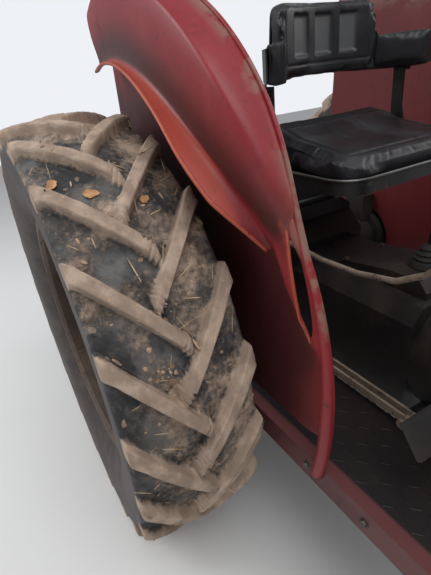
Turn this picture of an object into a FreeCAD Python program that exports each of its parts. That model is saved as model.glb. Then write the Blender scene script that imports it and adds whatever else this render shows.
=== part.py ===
"""A farm tractor of the 1960s: red sheet metal, chevron-lugged rear tyres and high narrow mudguards.

The frame: +X is the way it drives, +Y is its left and +Z is up. The origin is on the ground,
at the middle of the tractor's length and width. Every length is in millimetres.
"""

import FreeCAD, Part
import math
import os
from FreeCAD import Placement, Rotation, Vector
import Sketcher

SIZES = (
    # name, value: rear wheels
    ("wheelbase", 1900),
    ("rear_tyre_radius", 635),
    ("rear_tyre_width", 315),
    ("rear_track", 1360),
    ("rear_lug_height", 33),
    ("rear_lug_width", 40),
    ("rear_lugs_per_side", 20),
    ("rear_rim_radius", 356),
    ("rear_rim_width", 236),
    ("rim_sheet", 11),
    ("rim_flange", 22),
    ("bead_inset", 14),
    ("rear_disc_inset", 78),
    ("rear_hub_radius", 150),
    ("axle_shaft_radius", 45),
    # front wheels
    ("front_tyre_radius", 368),
    ("front_tyre_width", 165),
    ("front_track", 1300),
    ("front_rib_height", 14),
    ("front_rim_radius", 203),
    ("front_rim_width", 130),
    ("front_hub_radius", 62),
    ("stub_axle_radius", 24),
    # front axle and steering
    ("kingpin_radius", 20),
    ("kingpin_tube_radius", 37),
    ("kingpin_half_track", 500),
    ("axle_beam_thickness", 72),
    ("axle_beam_depth", 84),
    ("steering_arm_length", 150),
    ("steering_arm_thickness", 18),
    ("tie_rod_radius", 13),
    ("tie_rod_eye_radius", 23),
    ("tie_pin_radius", 9),
    ("centre_arm_setback", 110),
    ("pin_clearance", 0.3),
    # power train
    ("axle_housing_radius", 84),
    ("axle_flange_radius", 145),
    ("axle_housing_end", 500),
    ("transmission_half_width", 205),
    ("transmission_rear", 215),
    ("transmission_front", 255),
    ("transmission_bottom", 440),
    ("transmission_top", 870),
    ("gearbox_half_width", 150),
    ("gearbox_length", 445),
    ("gearbox_top", 790),
    ("bell_length", 340),
    ("bell_radius", 212),
    ("engine_length", 600),
    ("engine_half_width", 140),
    ("sump_bottom", 440),
    ("block_bottom", 560),
    ("block_top", 860),
    ("head_top", 955),
    ("rocker_top", 1040),
    # front end
    ("support_front", 140),
    ("support_half_width", 130),
    ("support_top", 632),
    ("radiator_half_width", 205),
    ("radiator_thickness", 70),
    ("hood_rear_half_width", 262),
    ("hood_front_half_width", 240),
    ("hood_rear_top", 1300),
    ("hood_front_top", 1228),
    ("hood_depth", 315),
    ("hood_sheet", 5),
    ("hood_corner", 90),
    ("nose_length", 215),
    ("nose_bottom", 632),
    ("headlamp_radius", 72),
    # mudguards
    ("mudguard_plane", 455),
    ("mudguard_sheet", 4),
    ("mudguard_crown_gap", 280),
    ("mudguard_lip_gap", 105),
    ("mudguard_depth", 95),
    ("mudguard_lip_width", 45),
    ("mudguard_bead_radius", 15),
    ("mudguard_foot", 600),
    # platform
    ("footboard_top", 525),
    ("footboard_sheet", 5),
    ("footboard_rear", 300),
    ("footboard_front", 1110),
    ("rail_height", 68),
    ("rail_thickness", 6),
    # seat
    ("seat_front", 560),
    ("seat_rear", 215),
    ("seat_half_width", 232),
    ("seat_base", 1050),
    ("cushion_front_rise", 75),
    ("cushion_rear_rise", 132),
    ("backrest_rise", 232),
    ("backrest_height", 184),
    ("backrest_bend", 450),
    ("wing_height", 88),
    ("wing_length", 135),
    ("wing_bend", 90),
    ("backrest_thickness", 48),
    ("backrest_half_width", 180),
    # steering wheel
    ("column_tilt", 32),
    ("steering_wheel_forward", 885),
    ("steering_wheel_height", 1262),
    ("steering_wheel_radius", 205),
    ("steering_rim_radius", 13),
    # hitch
    ("lift_shaft_back", 130),
    ("lift_shaft_height", 890),
    ("lift_arm_length", 300),
    ("lift_arm_drop", 18),
    ("link_pivot_back", 60),
    ("link_pivot_height", 430),
    ("link_length", 800),
    ("hitch_pin_radius", 11),
    ("link_ball_radius", 11.2),
    ("link_plane", 252),
    ("rod_plane", 226),
    ("arm_plane", 200),
    ("drawbar_length", 640),
    ("drawbar_hole_radius", 14),
    ("pto_radius", 17.5),
    ("pto_length", 76),
    ("pto_height", 560),
)

doc = FreeCAD.newDocument("FarmTractor")
sheet = doc.addObject("Spreadsheet::Sheet", "Sizes")
for row, (size_name, size_value) in enumerate(SIZES, 1):
    sheet.set("A%d" % row, size_name)
    sheet.set("B%d" % row, str(size_value))
    sheet.setAlias("B%d" % row, size_name)
doc.recompute()


class Size:
    """A number worked out from the sheet, with the expression that a property is bound to."""

    def __init__(self, value, text):
        self.value = float(value)
        self.text = text

    def __add__(self, other):
        other = as_size(other)
        return Size(self.value + other.value, "(%s + %s)" % (self.text, other.text))

    def __sub__(self, other):
        other = as_size(other)
        return Size(self.value - other.value, "(%s - %s)" % (self.text, other.text))

    def __mul__(self, other):
        other = as_size(other)
        return Size(self.value * other.value, "(%s * %s)" % (self.text, other.text))

    def __truediv__(self, other):
        other = as_size(other)
        return Size(self.value / other.value, "(%s / %s)" % (self.text, other.text))

    def __neg__(self):
        return Size(-self.value, "(0 - %s)" % self.text)

    def __radd__(self, other):
        return as_size(other) + self

    def __rsub__(self, other):
        return as_size(other) - self

    def __rmul__(self, other):
        return as_size(other) * self

    def __float__(self):
        return self.value


def as_size(number):
    """A plain number as a size of its own."""
    if isinstance(number, Size):
        return number
    return Size(number, "(%r)" % float(number))


class Named:
    """The sheet's sizes as attributes: S.wheelbase."""

    def __getattr__(self, name):
        return Size(sheet.get(name), "Sizes.%s" % name)


S = Named()


def bind(thing, path, number):
    """Binds a property of a document object to a size."""
    thing.setExpression(path, as_size(number).text)


def box(name, x, y, z):
    """A block between two values along each axis."""
    thing = doc.addObject("Part::Box", name)
    for prop, axis, (low, high) in (("Length", "x", x), ("Width", "y", y), ("Height", "z", z)):
        low, high = as_size(low), as_size(high)
        bind(thing, prop, high - low)
        bind(thing, "Placement.Base.%s" % axis, low)
    return thing


AXIS_TURNS = {
    "x": Rotation(Vector(0, 1, 0), 90),
    "y": Rotation(Vector(1, 0, 0), -90),
    "z": Rotation(),
}


def cylinder(name, axis, radius, start, length, cone_to=None):
    """A cylinder, or a cone to a second radius, from a start point along +X, +Y or +Z."""
    kind = "Part::Cylinder" if cone_to is None else "Part::Cone"
    thing = doc.addObject(kind, name)
    if cone_to is None:
        bind(thing, "Radius", radius)
    else:
        bind(thing, "Radius1", radius)
        bind(thing, "Radius2", cone_to)
    bind(thing, "Height", length)
    thing.Placement = Placement(Vector(), AXIS_TURNS[axis])
    for letter, number in zip("xyz", start):
        bind(thing, "Placement.Base.%s" % letter, number)
    return thing


def fuse(name, *things):
    """One solid from pieces that overlap or share a face."""
    joined = doc.addObject("Part::MultiFuse", name)
    joined.Shapes = list(things)
    joined.Refine = True
    return joined


def cut(name, base, *tools):
    """The base without the tools."""
    tool = tools[0] if len(tools) == 1 else fuse(name + "_tools", *tools)
    result = doc.addObject("Part::Cut", name)
    result.Base = base
    result.Tool = tool
    result.Refine = True
    return result


SKETCH_PLANES = {"xz": "XZ_Plane", "yz": "YZ_Plane", "xy": "XY_Plane"}


def sketch(body, plane, points, offset):
    """A closed outline on one of the body's planes, each corner bound to its sizes.

    A corner is (u, v), or (u, v, radius) where an arc goes on to the next corner: it turns to the
    left with a positive radius and to the right with a negative one. offset moves the sketch's own
    origin along its u, v and normal.
    """
    drawing = body.newObject("Sketcher::SketchObject", body.Name + "_outline")
    role = SKETCH_PLANES[plane]
    origin_plane = [f for f in body.Origin.OriginFeatures if f.Role == role][0]
    drawing.AttachmentSupport = [(origin_plane, "")]
    drawing.MapMode = "FlatFace"
    for letter, number in zip("xyz", offset):
        bind(drawing, "AttachmentOffset.Base.%s" % letter, number)
    corners = [(as_size(p[0]), as_size(p[1])) for p in points]
    bends = [as_size(p[2]) if len(p) > 2 else None for p in points]
    count = len(corners)
    edges, ends = [], []
    for i in range(count):
        a = Vector(corners[i][0].value, corners[i][1].value, 0)
        b = Vector(corners[(i + 1) % count][0].value, corners[(i + 1) % count][1].value, 0)
        if bends[i] is None:
            edges.append(Part.LineSegment(a, b))
            ends.append((1, 2))
            continue
        left = bends[i].value > 0
        start, stop = (a, b) if left else (b, a)
        radius = abs(bends[i].value)
        chord = stop - start
        rise = math.sqrt(max(radius**2 - (chord.Length / 2) ** 2, 0))
        centre = (start + stop) / 2 + Vector(-chord.y, chord.x, 0).normalize() * rise
        first = math.atan2(start.y - centre.y, start.x - centre.x)
        last = math.atan2(stop.y - centre.y, stop.x - centre.x)
        circle = Part.Circle(centre, Vector(0, 0, 1), radius)
        edges.append(Part.ArcOfCircle(circle, first, last if last > first else last + 2 * math.pi))
        ends.append((1, 2) if left else (2, 1))
    drawing.addGeometry(edges, False)
    rules, bound = [], []
    for i in range(count):
        after = (i + 1) % count
        rules.append(Sketcher.Constraint("Coincident", i, ends[i][1], after, ends[after][0]))
        bound.append(None)
    for i, (u, v) in enumerate(corners):
        for kind, number in (("DistanceX", u), ("DistanceY", v)):
            rules.append(Sketcher.Constraint(kind, -1, 1, i, ends[i][0], number.value))
            bound.append(number)
    for i, bend in enumerate(bends):
        if bend is not None:
            rules.append(Sketcher.Constraint("Radius", i, abs(bend.value)))
            bound.append(bend if bend.value > 0 else -bend)
    drawing.addConstraint(rules)
    for i, number in enumerate(bound):
        if number is not None:
            drawing.setExpression("Constraints[%d]" % i, number.text)
    return drawing


def plate(name, plane, points, low, high):
    """An outline padded between two values along the axis that its plane leaves out."""
    body = doc.addObject("PartDesign::Body", name)
    low, high = as_size(low), as_size(high)
    start = -high if plane == "xz" else low
    drawing = sketch(body, plane, points, (0, 0, start))
    pad = body.newObject("PartDesign::Pad", name + "_pad")
    pad.Profile = drawing
    bind(pad, "Length", high - low)
    return body


def turned(name, axis, points, centre):
    """An outline of (along the axis, radius) corners turned all the way round an axis.

    centre is the (x, y, z) that the axis passes through and that 'along' is measured from.
    """
    body = doc.addObject("PartDesign::Body", name)
    x, y, z = (as_size(c) for c in centre)
    if axis == "y":
        drawing = sketch(body, "yz", points, (y, z, x))
        line = "H_Axis"
    elif axis == "x":
        drawing = sketch(body, "xz", points, (x, z, -y))
        line = "H_Axis"
    else:
        drawing = sketch(body, "xz", [(p[1], p[0], *p[2:]) for p in points], (x, z, -y))
        line = "V_Axis"
    turn = body.newObject("PartDesign::Revolution", name + "_turn")
    turn.Profile = drawing
    turn.ReferenceAxis = (drawing, [line])
    turn.Angle = 360
    return body


def shape_of(name, shape):
    """A sub-part whose shape is worked out with Part's own functions."""
    thing = doc.addObject("Part::Feature", name)
    thing.Shape = shape
    return thing


def loft(sections, ruled=False):
    """A closed solid through flat closed sections, each a list of corner points."""
    wires = [
        Part.makePolygon([Vector(*p) for p in corners] + [Vector(*corners[0])]) for corners in sections
    ]
    return Part.makeLoft(wires, True, ruled)


NODES = {}


def node(name, thing):
    """Names a finished sub-part."""
    thing.Label = name
    NODES[name] = thing
    return thing


SIDES = (("right", -1), ("left", 1))

# The places that the rest is measured from
rear_reach = S.link_length + S.link_pivot_back + S.link_ball_radius + 14
front_reach = S.wheelbase + S.front_tyre_radius
AXLE_X = (rear_reach - front_reach) / 2
AXLE_Z = S.rear_tyre_radius
FRONT_X = AXLE_X + S.wheelbase
FRONT_Z = S.front_tyre_radius
REAR_WHEEL_Y = S.rear_track / 2
FRONT_WHEEL_Y = S.front_track / 2


# Rear wheels: a tyre with chevron lugs on a steel rim with a dished disc and its drive shaft
def tyre_ring(outline, steps, phase):
    """A ring of flat facets: (y, radius) corners carried round the wheel's axis in equal steps.

    Its first two corners are the seat, whose flats touch the round rim at their middles.
    """
    corners = [(float(y), float(r)) for y, r in outline]
    grown = 1 / math.cos(math.pi / steps)
    corners = [(y, r * grown) for y, r in corners[:2]] + corners[2:]
    rings = []
    for k in range(steps):
        angle = phase + 2 * math.pi * k / steps
        rings.append([Vector(r * math.cos(angle), y, r * math.sin(angle)) for y, r in corners])
    facets = []
    for k in range(steps):
        here, there = rings[k], rings[(k + 1) % steps]
        for j in range(len(corners)):
            i = (j + 1) % len(corners)
            facets.append(Part.Face(Part.makePolygon([here[j], here[i], there[i], there[j], here[j]])))
    return Part.Solid(Part.Shell(facets))


def on_tread(radius, y, angle):
    """A point of the tread from its radius, its place across and its angle up from the front."""
    return Vector(radius * math.cos(angle), y, radius * math.sin(angle))


def lug(start, hand):
    """One bar of the chevron: flat-sided, bent once at its middle, tapered down at both ends.

    It starts by the middle of the tread at the angle start and runs out to the side hand, and
    on the front of the wheel its outer end is the higher one.
    """
    tip = float(S.rear_tyre_radius)
    half = float(S.rear_tyre_width) / 2
    depth = float(S.rear_lug_height) + 10
    inner = on_tread(tip, -0.13 * hand * half, start)
    middle = on_tread(tip, 0.36 * hand * half, start + LUG_SWEEP / 2)
    outer = on_tread(tip - 5, 0.81 * hand * half, start + LUG_SWEEP)
    outward = Vector(middle.x, 0, middle.z).normalize()
    across = outward.cross(outer - inner).normalize()
    top, foot = float(S.rear_lug_width) / 2, float(S.rear_lug_width) / 2 + 7
    section = [
        middle - across * top,
        middle + across * top,
        middle + across * foot - outward * depth,
        middle - across * foot - outward * depth,
    ]
    runs = ((inner - middle, 1.16), (Vector(), 1.0), (outer - middle, 1.13))
    rings = [
        [p + run * (stretch if n > 1 else 1.0) for n, p in enumerate(section)] for run, stretch in runs
    ]
    faces = [Part.Face(Part.makePolygon(ring + [ring[0]])) for ring in (rings[0], rings[2])]
    for here, there in zip(rings, rings[1:]):
        for j in range(4):
            i = (j + 1) % 4
            faces.append(Part.Face(Part.makePolygon([here[j], here[i], there[i], there[j], here[j]])))
    return Part.Solid(Part.Shell(faces))


LUG_SWEEP = math.radians(15.0)
LUG_PHASE = math.radians(59.5)


def rear_tyre(sign):
    """The carcass down to its rim seat with the two staggered rows of lugs."""
    half = S.rear_tyre_width / 2
    bead = S.rear_rim_width / 2 - S.bead_inset
    base = S.rear_tyre_radius - S.rear_lug_height
    seat = S.rear_rim_radius
    edge = half * 0.76
    outline = (
        (-bead, seat),
        (bead, seat),
        (half, seat + (base - seat) * 0.62),
        (half - 7, base - 30),
        (edge, base),
        (-edge, base),
        (7 - half, base - 30),
        (-half, seat + (base - seat) * 0.62),
    )
    count = int(round(float(S.rear_lugs_per_side)))
    pitch = 2 * math.pi / count
    lugs = []
    for n in range(count):
        lugs.append(lug(LUG_PHASE + n * pitch, sign))
        lugs.append(lug(LUG_PHASE + (n + 0.5) * pitch, -sign))
    tyre = tyre_ring(outline, 2 * count, LUG_PHASE).fuse(lugs).removeSplitter()
    tyre.translate(Vector(float(AXLE_X), sign * float(REAR_WHEEL_Y), float(AXLE_Z)))
    return tyre


def wheel_disc(name, sign, centre, rim_radius, rim_width, inset, hub_radius, inner_parts):
    """A rim hoop with its flanges, a dished disc and whatever it carries inboard, as one turned piece.

    inner_parts are the corners that go on from the disc's inboard face down to the axis.
    """
    half = rim_width / 2
    sheet_t = S.rim_sheet
    flange = rim_radius + S.rim_flange
    inside = rim_radius - sheet_t
    outline = [
        (half, flange),
        (half - 6, flange),
        (half - 10, rim_radius),
        (10 - half, rim_radius),
        (6 - half, flange),
        (-half, flange),
        (-half, rim_radius),
        (-half + 12, inside),
        (-inset * 0.35 - 12, inside),
        (-inset, hub_radius),
    ]
    outline += inner_parts
    outline += [
        (-inset + 42, 0),
        (-inset + 42, hub_radius * 0.38),
        (-inset + 34, hub_radius * 0.48),
        (-inset + 10, hub_radius * 0.5),
        (-inset + 10, hub_radius - 3),
        (-inset * 0.35 + 2, inside),
        (half - 12, inside),
        (half, rim_radius),
    ]
    outline = [(sign * a, b) for a, b in ((as_size(p[0]), p[1]) for p in outline)]
    return turned(name, "y", outline, centre)


for side, sign in SIDES:
    node("rear_tyre_" + side, shape_of("rear_tyre_" + side, rear_tyre(sign)))
    shaft = S.axle_shaft_radius
    shaft_end = REAR_WHEEL_Y - S.axle_housing_end + 40
    inboard = [
        (-S.rear_disc_inset, S.rear_hub_radius - 45),
        (-S.rear_disc_inset - 18, S.rear_hub_radius - 45),
        (-S.rear_disc_inset - 18, shaft + 12),
        (-S.rear_disc_inset - 34, shaft),
        (-shaft_end, shaft),
        (-shaft_end, 0),
    ]
    centre = (AXLE_X, sign * REAR_WHEEL_Y, AXLE_Z)
    node(
        "rear_rim_" + side,
        wheel_disc(
            "rear_rim_" + side,
            sign,
            centre,
            S.rear_rim_radius,
            S.rear_rim_width,
            S.rear_disc_inset,
            S.rear_hub_radius,
            inboard,
        ),
    )

# Front wheels: three-ribbed tyres on dished discs, with a hub that runs on the stub axle
FRONT_TYRE_STEPS = 28

for side, sign in SIDES:
    half = S.front_tyre_width / 2
    bead = S.front_rim_width / 2 - S.bead_inset
    seat = S.front_rim_radius
    top = S.front_tyre_radius
    base = top - S.front_rib_height
    centre = (FRONT_X, sign * FRONT_WHEEL_Y, FRONT_Z)
    outline = (
        (-bead, seat),
        (bead, seat),
        (half, seat + (base - seat) * 0.72),
        (half * 0.68, top - 7),
        (half * 0.36, base),
        (half * 0.16, top),
        (-half * 0.16, top),
        (-half * 0.36, base),
        (-half * 0.68, top - 7),
        (-half, seat + (base - seat) * 0.72),
    )
    tyre = tyre_ring(outline, FRONT_TYRE_STEPS, -math.pi / 2)
    tyre.translate(Vector(*(float(c) for c in centre)))
    node("front_tyre_" + side, shape_of("front_tyre_" + side, tyre))
    bore = S.stub_axle_radius + S.pin_clearance
    inset = as_size(14)
    inboard = [
        (-inset - 46, S.front_hub_radius),
        (-inset - 46, bore),
        (-inset + 26, bore),
        (-inset + 26, 0),
    ]
    node(
        "front_rim_" + side,
        wheel_disc(
            "front_rim_" + side,
            sign,
            centre,
            S.front_rim_radius,
            S.front_rim_width,
            inset,
            S.front_hub_radius,
            inboard,
        ),
    )

# Front axle: a forged beam on a centre pin, a tube at each end for the kingpin
KINGPIN_Y = S.kingpin_half_track
TUBE_LOW = FRONT_Z + 62
TUBE_HIGH = TUBE_LOW + 165
ARM_LOW = FRONT_Z + 17
ARM_HIGH = ARM_LOW + S.steering_arm_thickness
PIVOT_Z = FRONT_Z + 112
beam_half = S.axle_beam_thickness / 2
beam_low = PIVOT_Z - S.axle_beam_depth / 2
beam_high = PIVOT_Z + S.axle_beam_depth / 2
end_low = TUBE_LOW + 42
end_high = TUBE_HIGH - 38
beam = plate(
    "front_axle_beam",
    "yz",
    (
        (-KINGPIN_Y, end_low),
        (-KINGPIN_Y * 0.32, beam_low),
        (KINGPIN_Y * 0.32, beam_low),
        (KINGPIN_Y, end_low),
        (KINGPIN_Y, end_high),
        (KINGPIN_Y * 0.26, beam_high),
        (-KINGPIN_Y * 0.26, beam_high),
        (-KINGPIN_Y, end_high),
    ),
    FRONT_X - beam_half,
    FRONT_X + beam_half,
)
tubes = [
    cylinder(
        "kingpin_tube_" + side,
        "z",
        S.kingpin_tube_radius,
        (FRONT_X, sign * KINGPIN_Y, TUBE_LOW),
        TUBE_HIGH - TUBE_LOW,
    )
    for side, sign in SIDES
]
bores = [
    cylinder(
        "kingpin_bore_" + side,
        "z",
        S.kingpin_radius + S.pin_clearance,
        (FRONT_X, sign * KINGPIN_Y, TUBE_LOW - 1),
        TUBE_HIGH - TUBE_LOW + 2,
    )
    for side, sign in SIDES
]
PIVOT_PIN = as_size(22)
bores.append(
    cylinder(
        "axle_pin_bore",
        "x",
        PIVOT_PIN + S.pin_clearance,
        (FRONT_X - beam_half - 1, 0, PIVOT_Z),
        S.axle_beam_thickness + 2,
    )
)
node("front_axle", cut("front_axle", fuse("front_axle_body", beam, *tubes), *bores))

# Knuckles: a kingpin, a stub axle and a steering arm that points back
for side, sign in SIDES:
    y = sign * KINGPIN_Y
    boss_low = FRONT_Z - 32
    pin = cylinder(
        "kingpin_" + side, "z", S.kingpin_radius, (FRONT_X, y, FRONT_Z), TUBE_HIGH + 14 - FRONT_Z
    )
    cap = cylinder("kingpin_cap_" + side, "z", S.kingpin_radius + 8, (FRONT_X, y, TUBE_HIGH + 5), 12)
    boss = cylinder(
        "knuckle_boss_" + side, "z", S.kingpin_tube_radius, (FRONT_X, y, boss_low), TUBE_LOW - 5 - boss_low
    )
    stub_length = FRONT_WHEEL_Y - KINGPIN_Y + 9
    stub_start = y if sign > 0 else y - stub_length
    stub = cylinder(
        "stub_axle_" + side, "y", S.stub_axle_radius, (FRONT_X, stub_start, FRONT_Z), stub_length
    )
    collar_length = FRONT_WHEEL_Y - KINGPIN_Y - 14 - 46 - 6
    collar_start = y if sign > 0 else y - collar_length
    collar = cylinder(
        "stub_collar_" + side, "y", S.stub_axle_radius + 5, (FRONT_X, collar_start, FRONT_Z), collar_length
    )
    tip_x = FRONT_X - S.steering_arm_length
    arm = plate(
        "steering_arm_" + side,
        "xy",
        (
            (FRONT_X - 12, y - 26),
            (FRONT_X - 12, y + 26),
            (tip_x, y + 19, 19),
            (tip_x - 19, y, 19),
            (tip_x, y - 19),
        ),
        ARM_LOW,
        ARM_HIGH,
    )
    # The right rod lies on top of the arms and the left one below them
    pin_low = ARM_LOW if sign < 0 else ARM_LOW - 30
    tie_pin = cylinder(
        "tie_pin_" + side, "z", S.tie_pin_radius, (tip_x, y, pin_low), 30 + S.steering_arm_thickness
    )
    node("knuckle_" + side, fuse("knuckle_" + side, pin, cap, boss, stub, collar, arm, tie_pin))

# The centre arm turns on a shaft under the front support; both rods are pinned to its tip
CENTRE_X = FRONT_X - S.centre_arm_setback
CENTRE_TIP_X = CENTRE_X - S.steering_arm_length
SUPPORT_FLOOR = PIVOT_Z + 40
centre_shaft = cylinder("centre_shaft", "z", 18, (CENTRE_X, 0, ARM_LOW), SUPPORT_FLOOR + 30 - ARM_LOW)
centre_arm = plate(
    "centre_arm_blade",
    "xy",
    (
        (CENTRE_X, -28, 28),
        (CENTRE_X + 28, 0, 28),
        (CENTRE_X, 28),
        (CENTRE_TIP_X, 19, 19),
        (CENTRE_TIP_X - 19, 0, 19),
        (CENTRE_TIP_X, -19),
    ),
    ARM_LOW,
    ARM_HIGH,
)
centre_pin = cylinder(
    "centre_tie_pin", "z", S.tie_pin_radius, (CENTRE_TIP_X, 0, ARM_LOW - 30), 60 + S.steering_arm_thickness
)
node("steering_centre_arm", fuse("steering_centre_arm", centre_shaft, centre_arm, centre_pin))

for side, sign in SIDES:
    eye_low = ARM_HIGH + 3 if sign < 0 else ARM_LOW - 27
    eye_height = 24
    level = eye_low + eye_height / 2
    outer = Vector(float(FRONT_X - S.steering_arm_length), sign * float(KINGPIN_Y), float(level))
    inner = Vector(float(CENTRE_TIP_X), 0, float(level))
    eye_radius = float(S.tie_rod_eye_radius)
    bore_radius = float(S.tie_pin_radius + S.pin_clearance)
    along = (inner - outer).normalize()
    rod = Part.makeCylinder(float(S.tie_rod_radius) - 2, (inner - outer).Length, outer, along)
    rod = rod.fuse(
        Part.makeCylinder(
            float(S.tie_rod_radius), (inner - outer).Length - 220, outer + along * 110, along
        )
    )
    for end in (outer, inner):
        bottom = Vector(end.x, end.y, float(eye_low))
        rod = rod.fuse(Part.makeCylinder(eye_radius, eye_height, bottom))
    for end in (outer, inner):
        bottom = Vector(end.x, end.y, float(eye_low) - 1)
        rod = rod.cut(Part.makeCylinder(bore_radius, eye_height + 2, bottom))
    node("tie_rod_" + side, shape_of("tie_rod_" + side, rod.removeSplitter()))

# Front support: the casting that carries the engine, the radiator and the axle's centre pin
ENGINE_REAR = AXLE_X + S.transmission_front + S.gearbox_length + S.bell_length
ENGINE_FRONT = ENGINE_REAR + S.engine_length
SUPPORT_FRONT = FRONT_X + S.support_front
half = S.support_half_width
bed = plate(
    "front_support_bed",
    "xz",
    (
        (ENGINE_FRONT, SUPPORT_FLOOR - 20),
        (ENGINE_FRONT + 60, SUPPORT_FLOOR),
        (SUPPORT_FRONT - 20, SUPPORT_FLOOR + 12),
        (SUPPORT_FRONT, SUPPORT_FLOOR + 36),
        (SUPPORT_FRONT, S.support_top),
        (ENGINE_FRONT + 48, S.support_top),
        (ENGINE_FRONT + 40, SUPPORT_FLOOR + 24),
        (ENGINE_FRONT, SUPPORT_FLOOR + 24),
    ),
    -half,
    half,
)
ears = []
for ear_name, ear_sign in (("rear", -1), ("front", 1)):
    near = FRONT_X + ear_sign * (beam_half + 6)
    far = near + ear_sign * 20
    low_x, high_x = (near, far) if ear_sign > 0 else (far, near)
    ears.append(
        plate(
            "axle_ear_" + ear_name,
            "yz",
            (
                (-34, PIVOT_Z, 34),
                (0, PIVOT_Z - 34, 34),
                (34, PIVOT_Z),
                (62, SUPPORT_FLOOR + 20),
                (-62, SUPPORT_FLOOR + 20),
            ),
            low_x,
            high_x,
        )
    )
axle_pin = cylinder(
    "axle_pin", "x", PIVOT_PIN, (FRONT_X - beam_half - 34, 0, PIVOT_Z), S.axle_beam_thickness + 68
)
shaft_boss = cylinder(
    "centre_shaft_boss", "z", 34, (CENTRE_X, 0, ARM_HIGH + 36), SUPPORT_FLOOR + 10 - ARM_HIGH - 36
)
support = fuse("front_support_body", bed, *ears, axle_pin, shaft_boss)
shaft_bore = cylinder(
    "centre_shaft_bore", "z", 18 + S.pin_clearance, (CENTRE_X, 0, ARM_HIGH), SUPPORT_FLOOR + 35 - ARM_HIGH
)
node("front_support", cut("front_support", support, shaft_bore))

# Engine: crankcase and sump, head and rocker cover, with what hangs on its sides
half = S.engine_half_width
crankcase = plate(
    "crankcase",
    "yz",
    (
        (-half * 0.55, S.sump_bottom),
        (half * 0.55, S.sump_bottom),
        (half * 0.85, S.block_bottom - 40),
        (half * 0.85, S.block_bottom - 12),
        (half * 1.12, S.block_bottom - 12),
        (half * 1.12, S.block_bottom + 8),
        (half, S.block_bottom + 8),
        (half, S.block_bottom + 90),
        (half * 0.86, S.block_bottom + 150),
        (half * 0.86, S.block_top),
        (-half * 0.86, S.block_top),
        (-half * 0.86, S.block_bottom + 150),
        (-half, S.block_bottom + 90),
        (-half, S.block_bottom + 8),
        (-half * 1.12, S.block_bottom + 8),
        (-half * 1.12, S.block_bottom - 12),
        (-half * 0.85, S.block_bottom - 12),
        (-half * 0.85, S.block_bottom - 40),
    ),
    ENGINE_REAR + 14,
    ENGINE_FRONT - 50,
)
backplate = cylinder("engine_backplate", "x", S.bell_radius, (ENGINE_REAR, 0, AXLE_Z), 18)
timing_case = plate(
    "timing_case",
    "yz",
    (
        (-half * 0.9, S.sump_bottom + 40),
        (half * 0.9, S.sump_bottom + 40),
        (half * 1.05, S.block_bottom + 60),
        (half * 0.8, S.block_top - 10),
        (-half * 0.8, S.block_top - 10),
        (-half * 1.05, S.block_bottom + 60),
    ),
    ENGINE_FRONT - 52,
    ENGINE_FRONT,
)
head = box(
    "cylinder_head",
    (ENGINE_REAR + 30, ENGINE_FRONT - 60),
    (-half * 0.8, half * 0.8),
    (S.block_top - 1, S.head_top),
)
pulley = cylinder("crank_pulley", "x", 62, (ENGINE_FRONT - 1, 0, AXLE_Z - 22), 32)
node("engine_block", fuse("engine_block", crankcase, backplate, timing_case, head, pulley))
node(
    "rocker_cover",
    plate(
        "rocker_cover",
        "yz",
        (
            (-half * 0.62, S.head_top),
            (half * 0.62, S.head_top),
            (half * 0.62, S.head_top + 18),
            (half * 0.52, S.head_top + 18),
            (half * 0.50, S.rocker_top - 26, 26),
            (half * 0.50 - 26, S.rocker_top),
            (26 - half * 0.50, S.rocker_top, 26),
            (-half * 0.50, S.rocker_top - 26),
            (-half * 0.52, S.head_top + 18),
            (-half * 0.62, S.head_top + 18),
        ),
        ENGINE_REAR + 45,
        ENGINE_FRONT - 75,
    ),
)

# Fuel pump, filter and oil filter on the right; starter and generator on the left
wall = S.engine_half_width
pump_x = ENGINE_REAR + 270
side_parts = [
    box(
        "pump_body",
        (pump_x, pump_x + 190),
        (-wall - 92, -wall * 0.86),
        (S.block_bottom + 150, S.block_bottom + 235),
    ),
    cylinder("pump_governor", "x", 46, (pump_x - 70, -wall - 42, S.block_bottom + 192), 75),
    cylinder("pump_drive", "x", 34, (pump_x + 189, -wall - 46, S.block_bottom + 192), 50),
]
node("injection_pump", fuse("injection_pump", *side_parts))
filter_x = ENGINE_REAR + 110
filter_parts = [
    cylinder("fuel_filter_bowl", "z", 44, (filter_x, -wall - 52, S.block_bottom + 120), 140),
    box(
        "fuel_filter_head",
        (filter_x - 50, filter_x + 50),
        (-wall - 98, -wall * 0.86),
        (S.block_bottom + 259, S.block_bottom + 290),
    ),
]
node("fuel_filter", fuse("fuel_filter", *filter_parts))
starter_x = ENGINE_REAR + 18.3
starter_y = wall + 46.3
starter_z = S.block_bottom + 62
starter_parts = [
    cylinder("starter_body", "x", 46, (starter_x, starter_y, starter_z), 250),
    cylinder("starter_nose", "x", 34, (starter_x + 249, starter_y, starter_z), 24),
    cylinder("starter_solenoid", "x", 25, (starter_x + 60, starter_y + 10, starter_z + 66), 140),
]
node("starter_motor", fuse("starter_motor", *starter_parts))
generator_x = ENGINE_FRONT - 190
generator_parts = [
    cylinder("generator_body", "x", 58, (generator_x, wall + 48, S.block_top - 62), 180),
    cylinder("generator_pulley", "x", 44, (generator_x + 179, wall + 48, S.block_top - 62), 26),
    box(
        "generator_bracket",
        (generator_x + 10, generator_x + 125),
        (wall * 0.86, wall + 10),
        (S.block_top - 120, S.block_top - 96),
    ),
]
node("generator", fuse("generator", *generator_parts))

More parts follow.
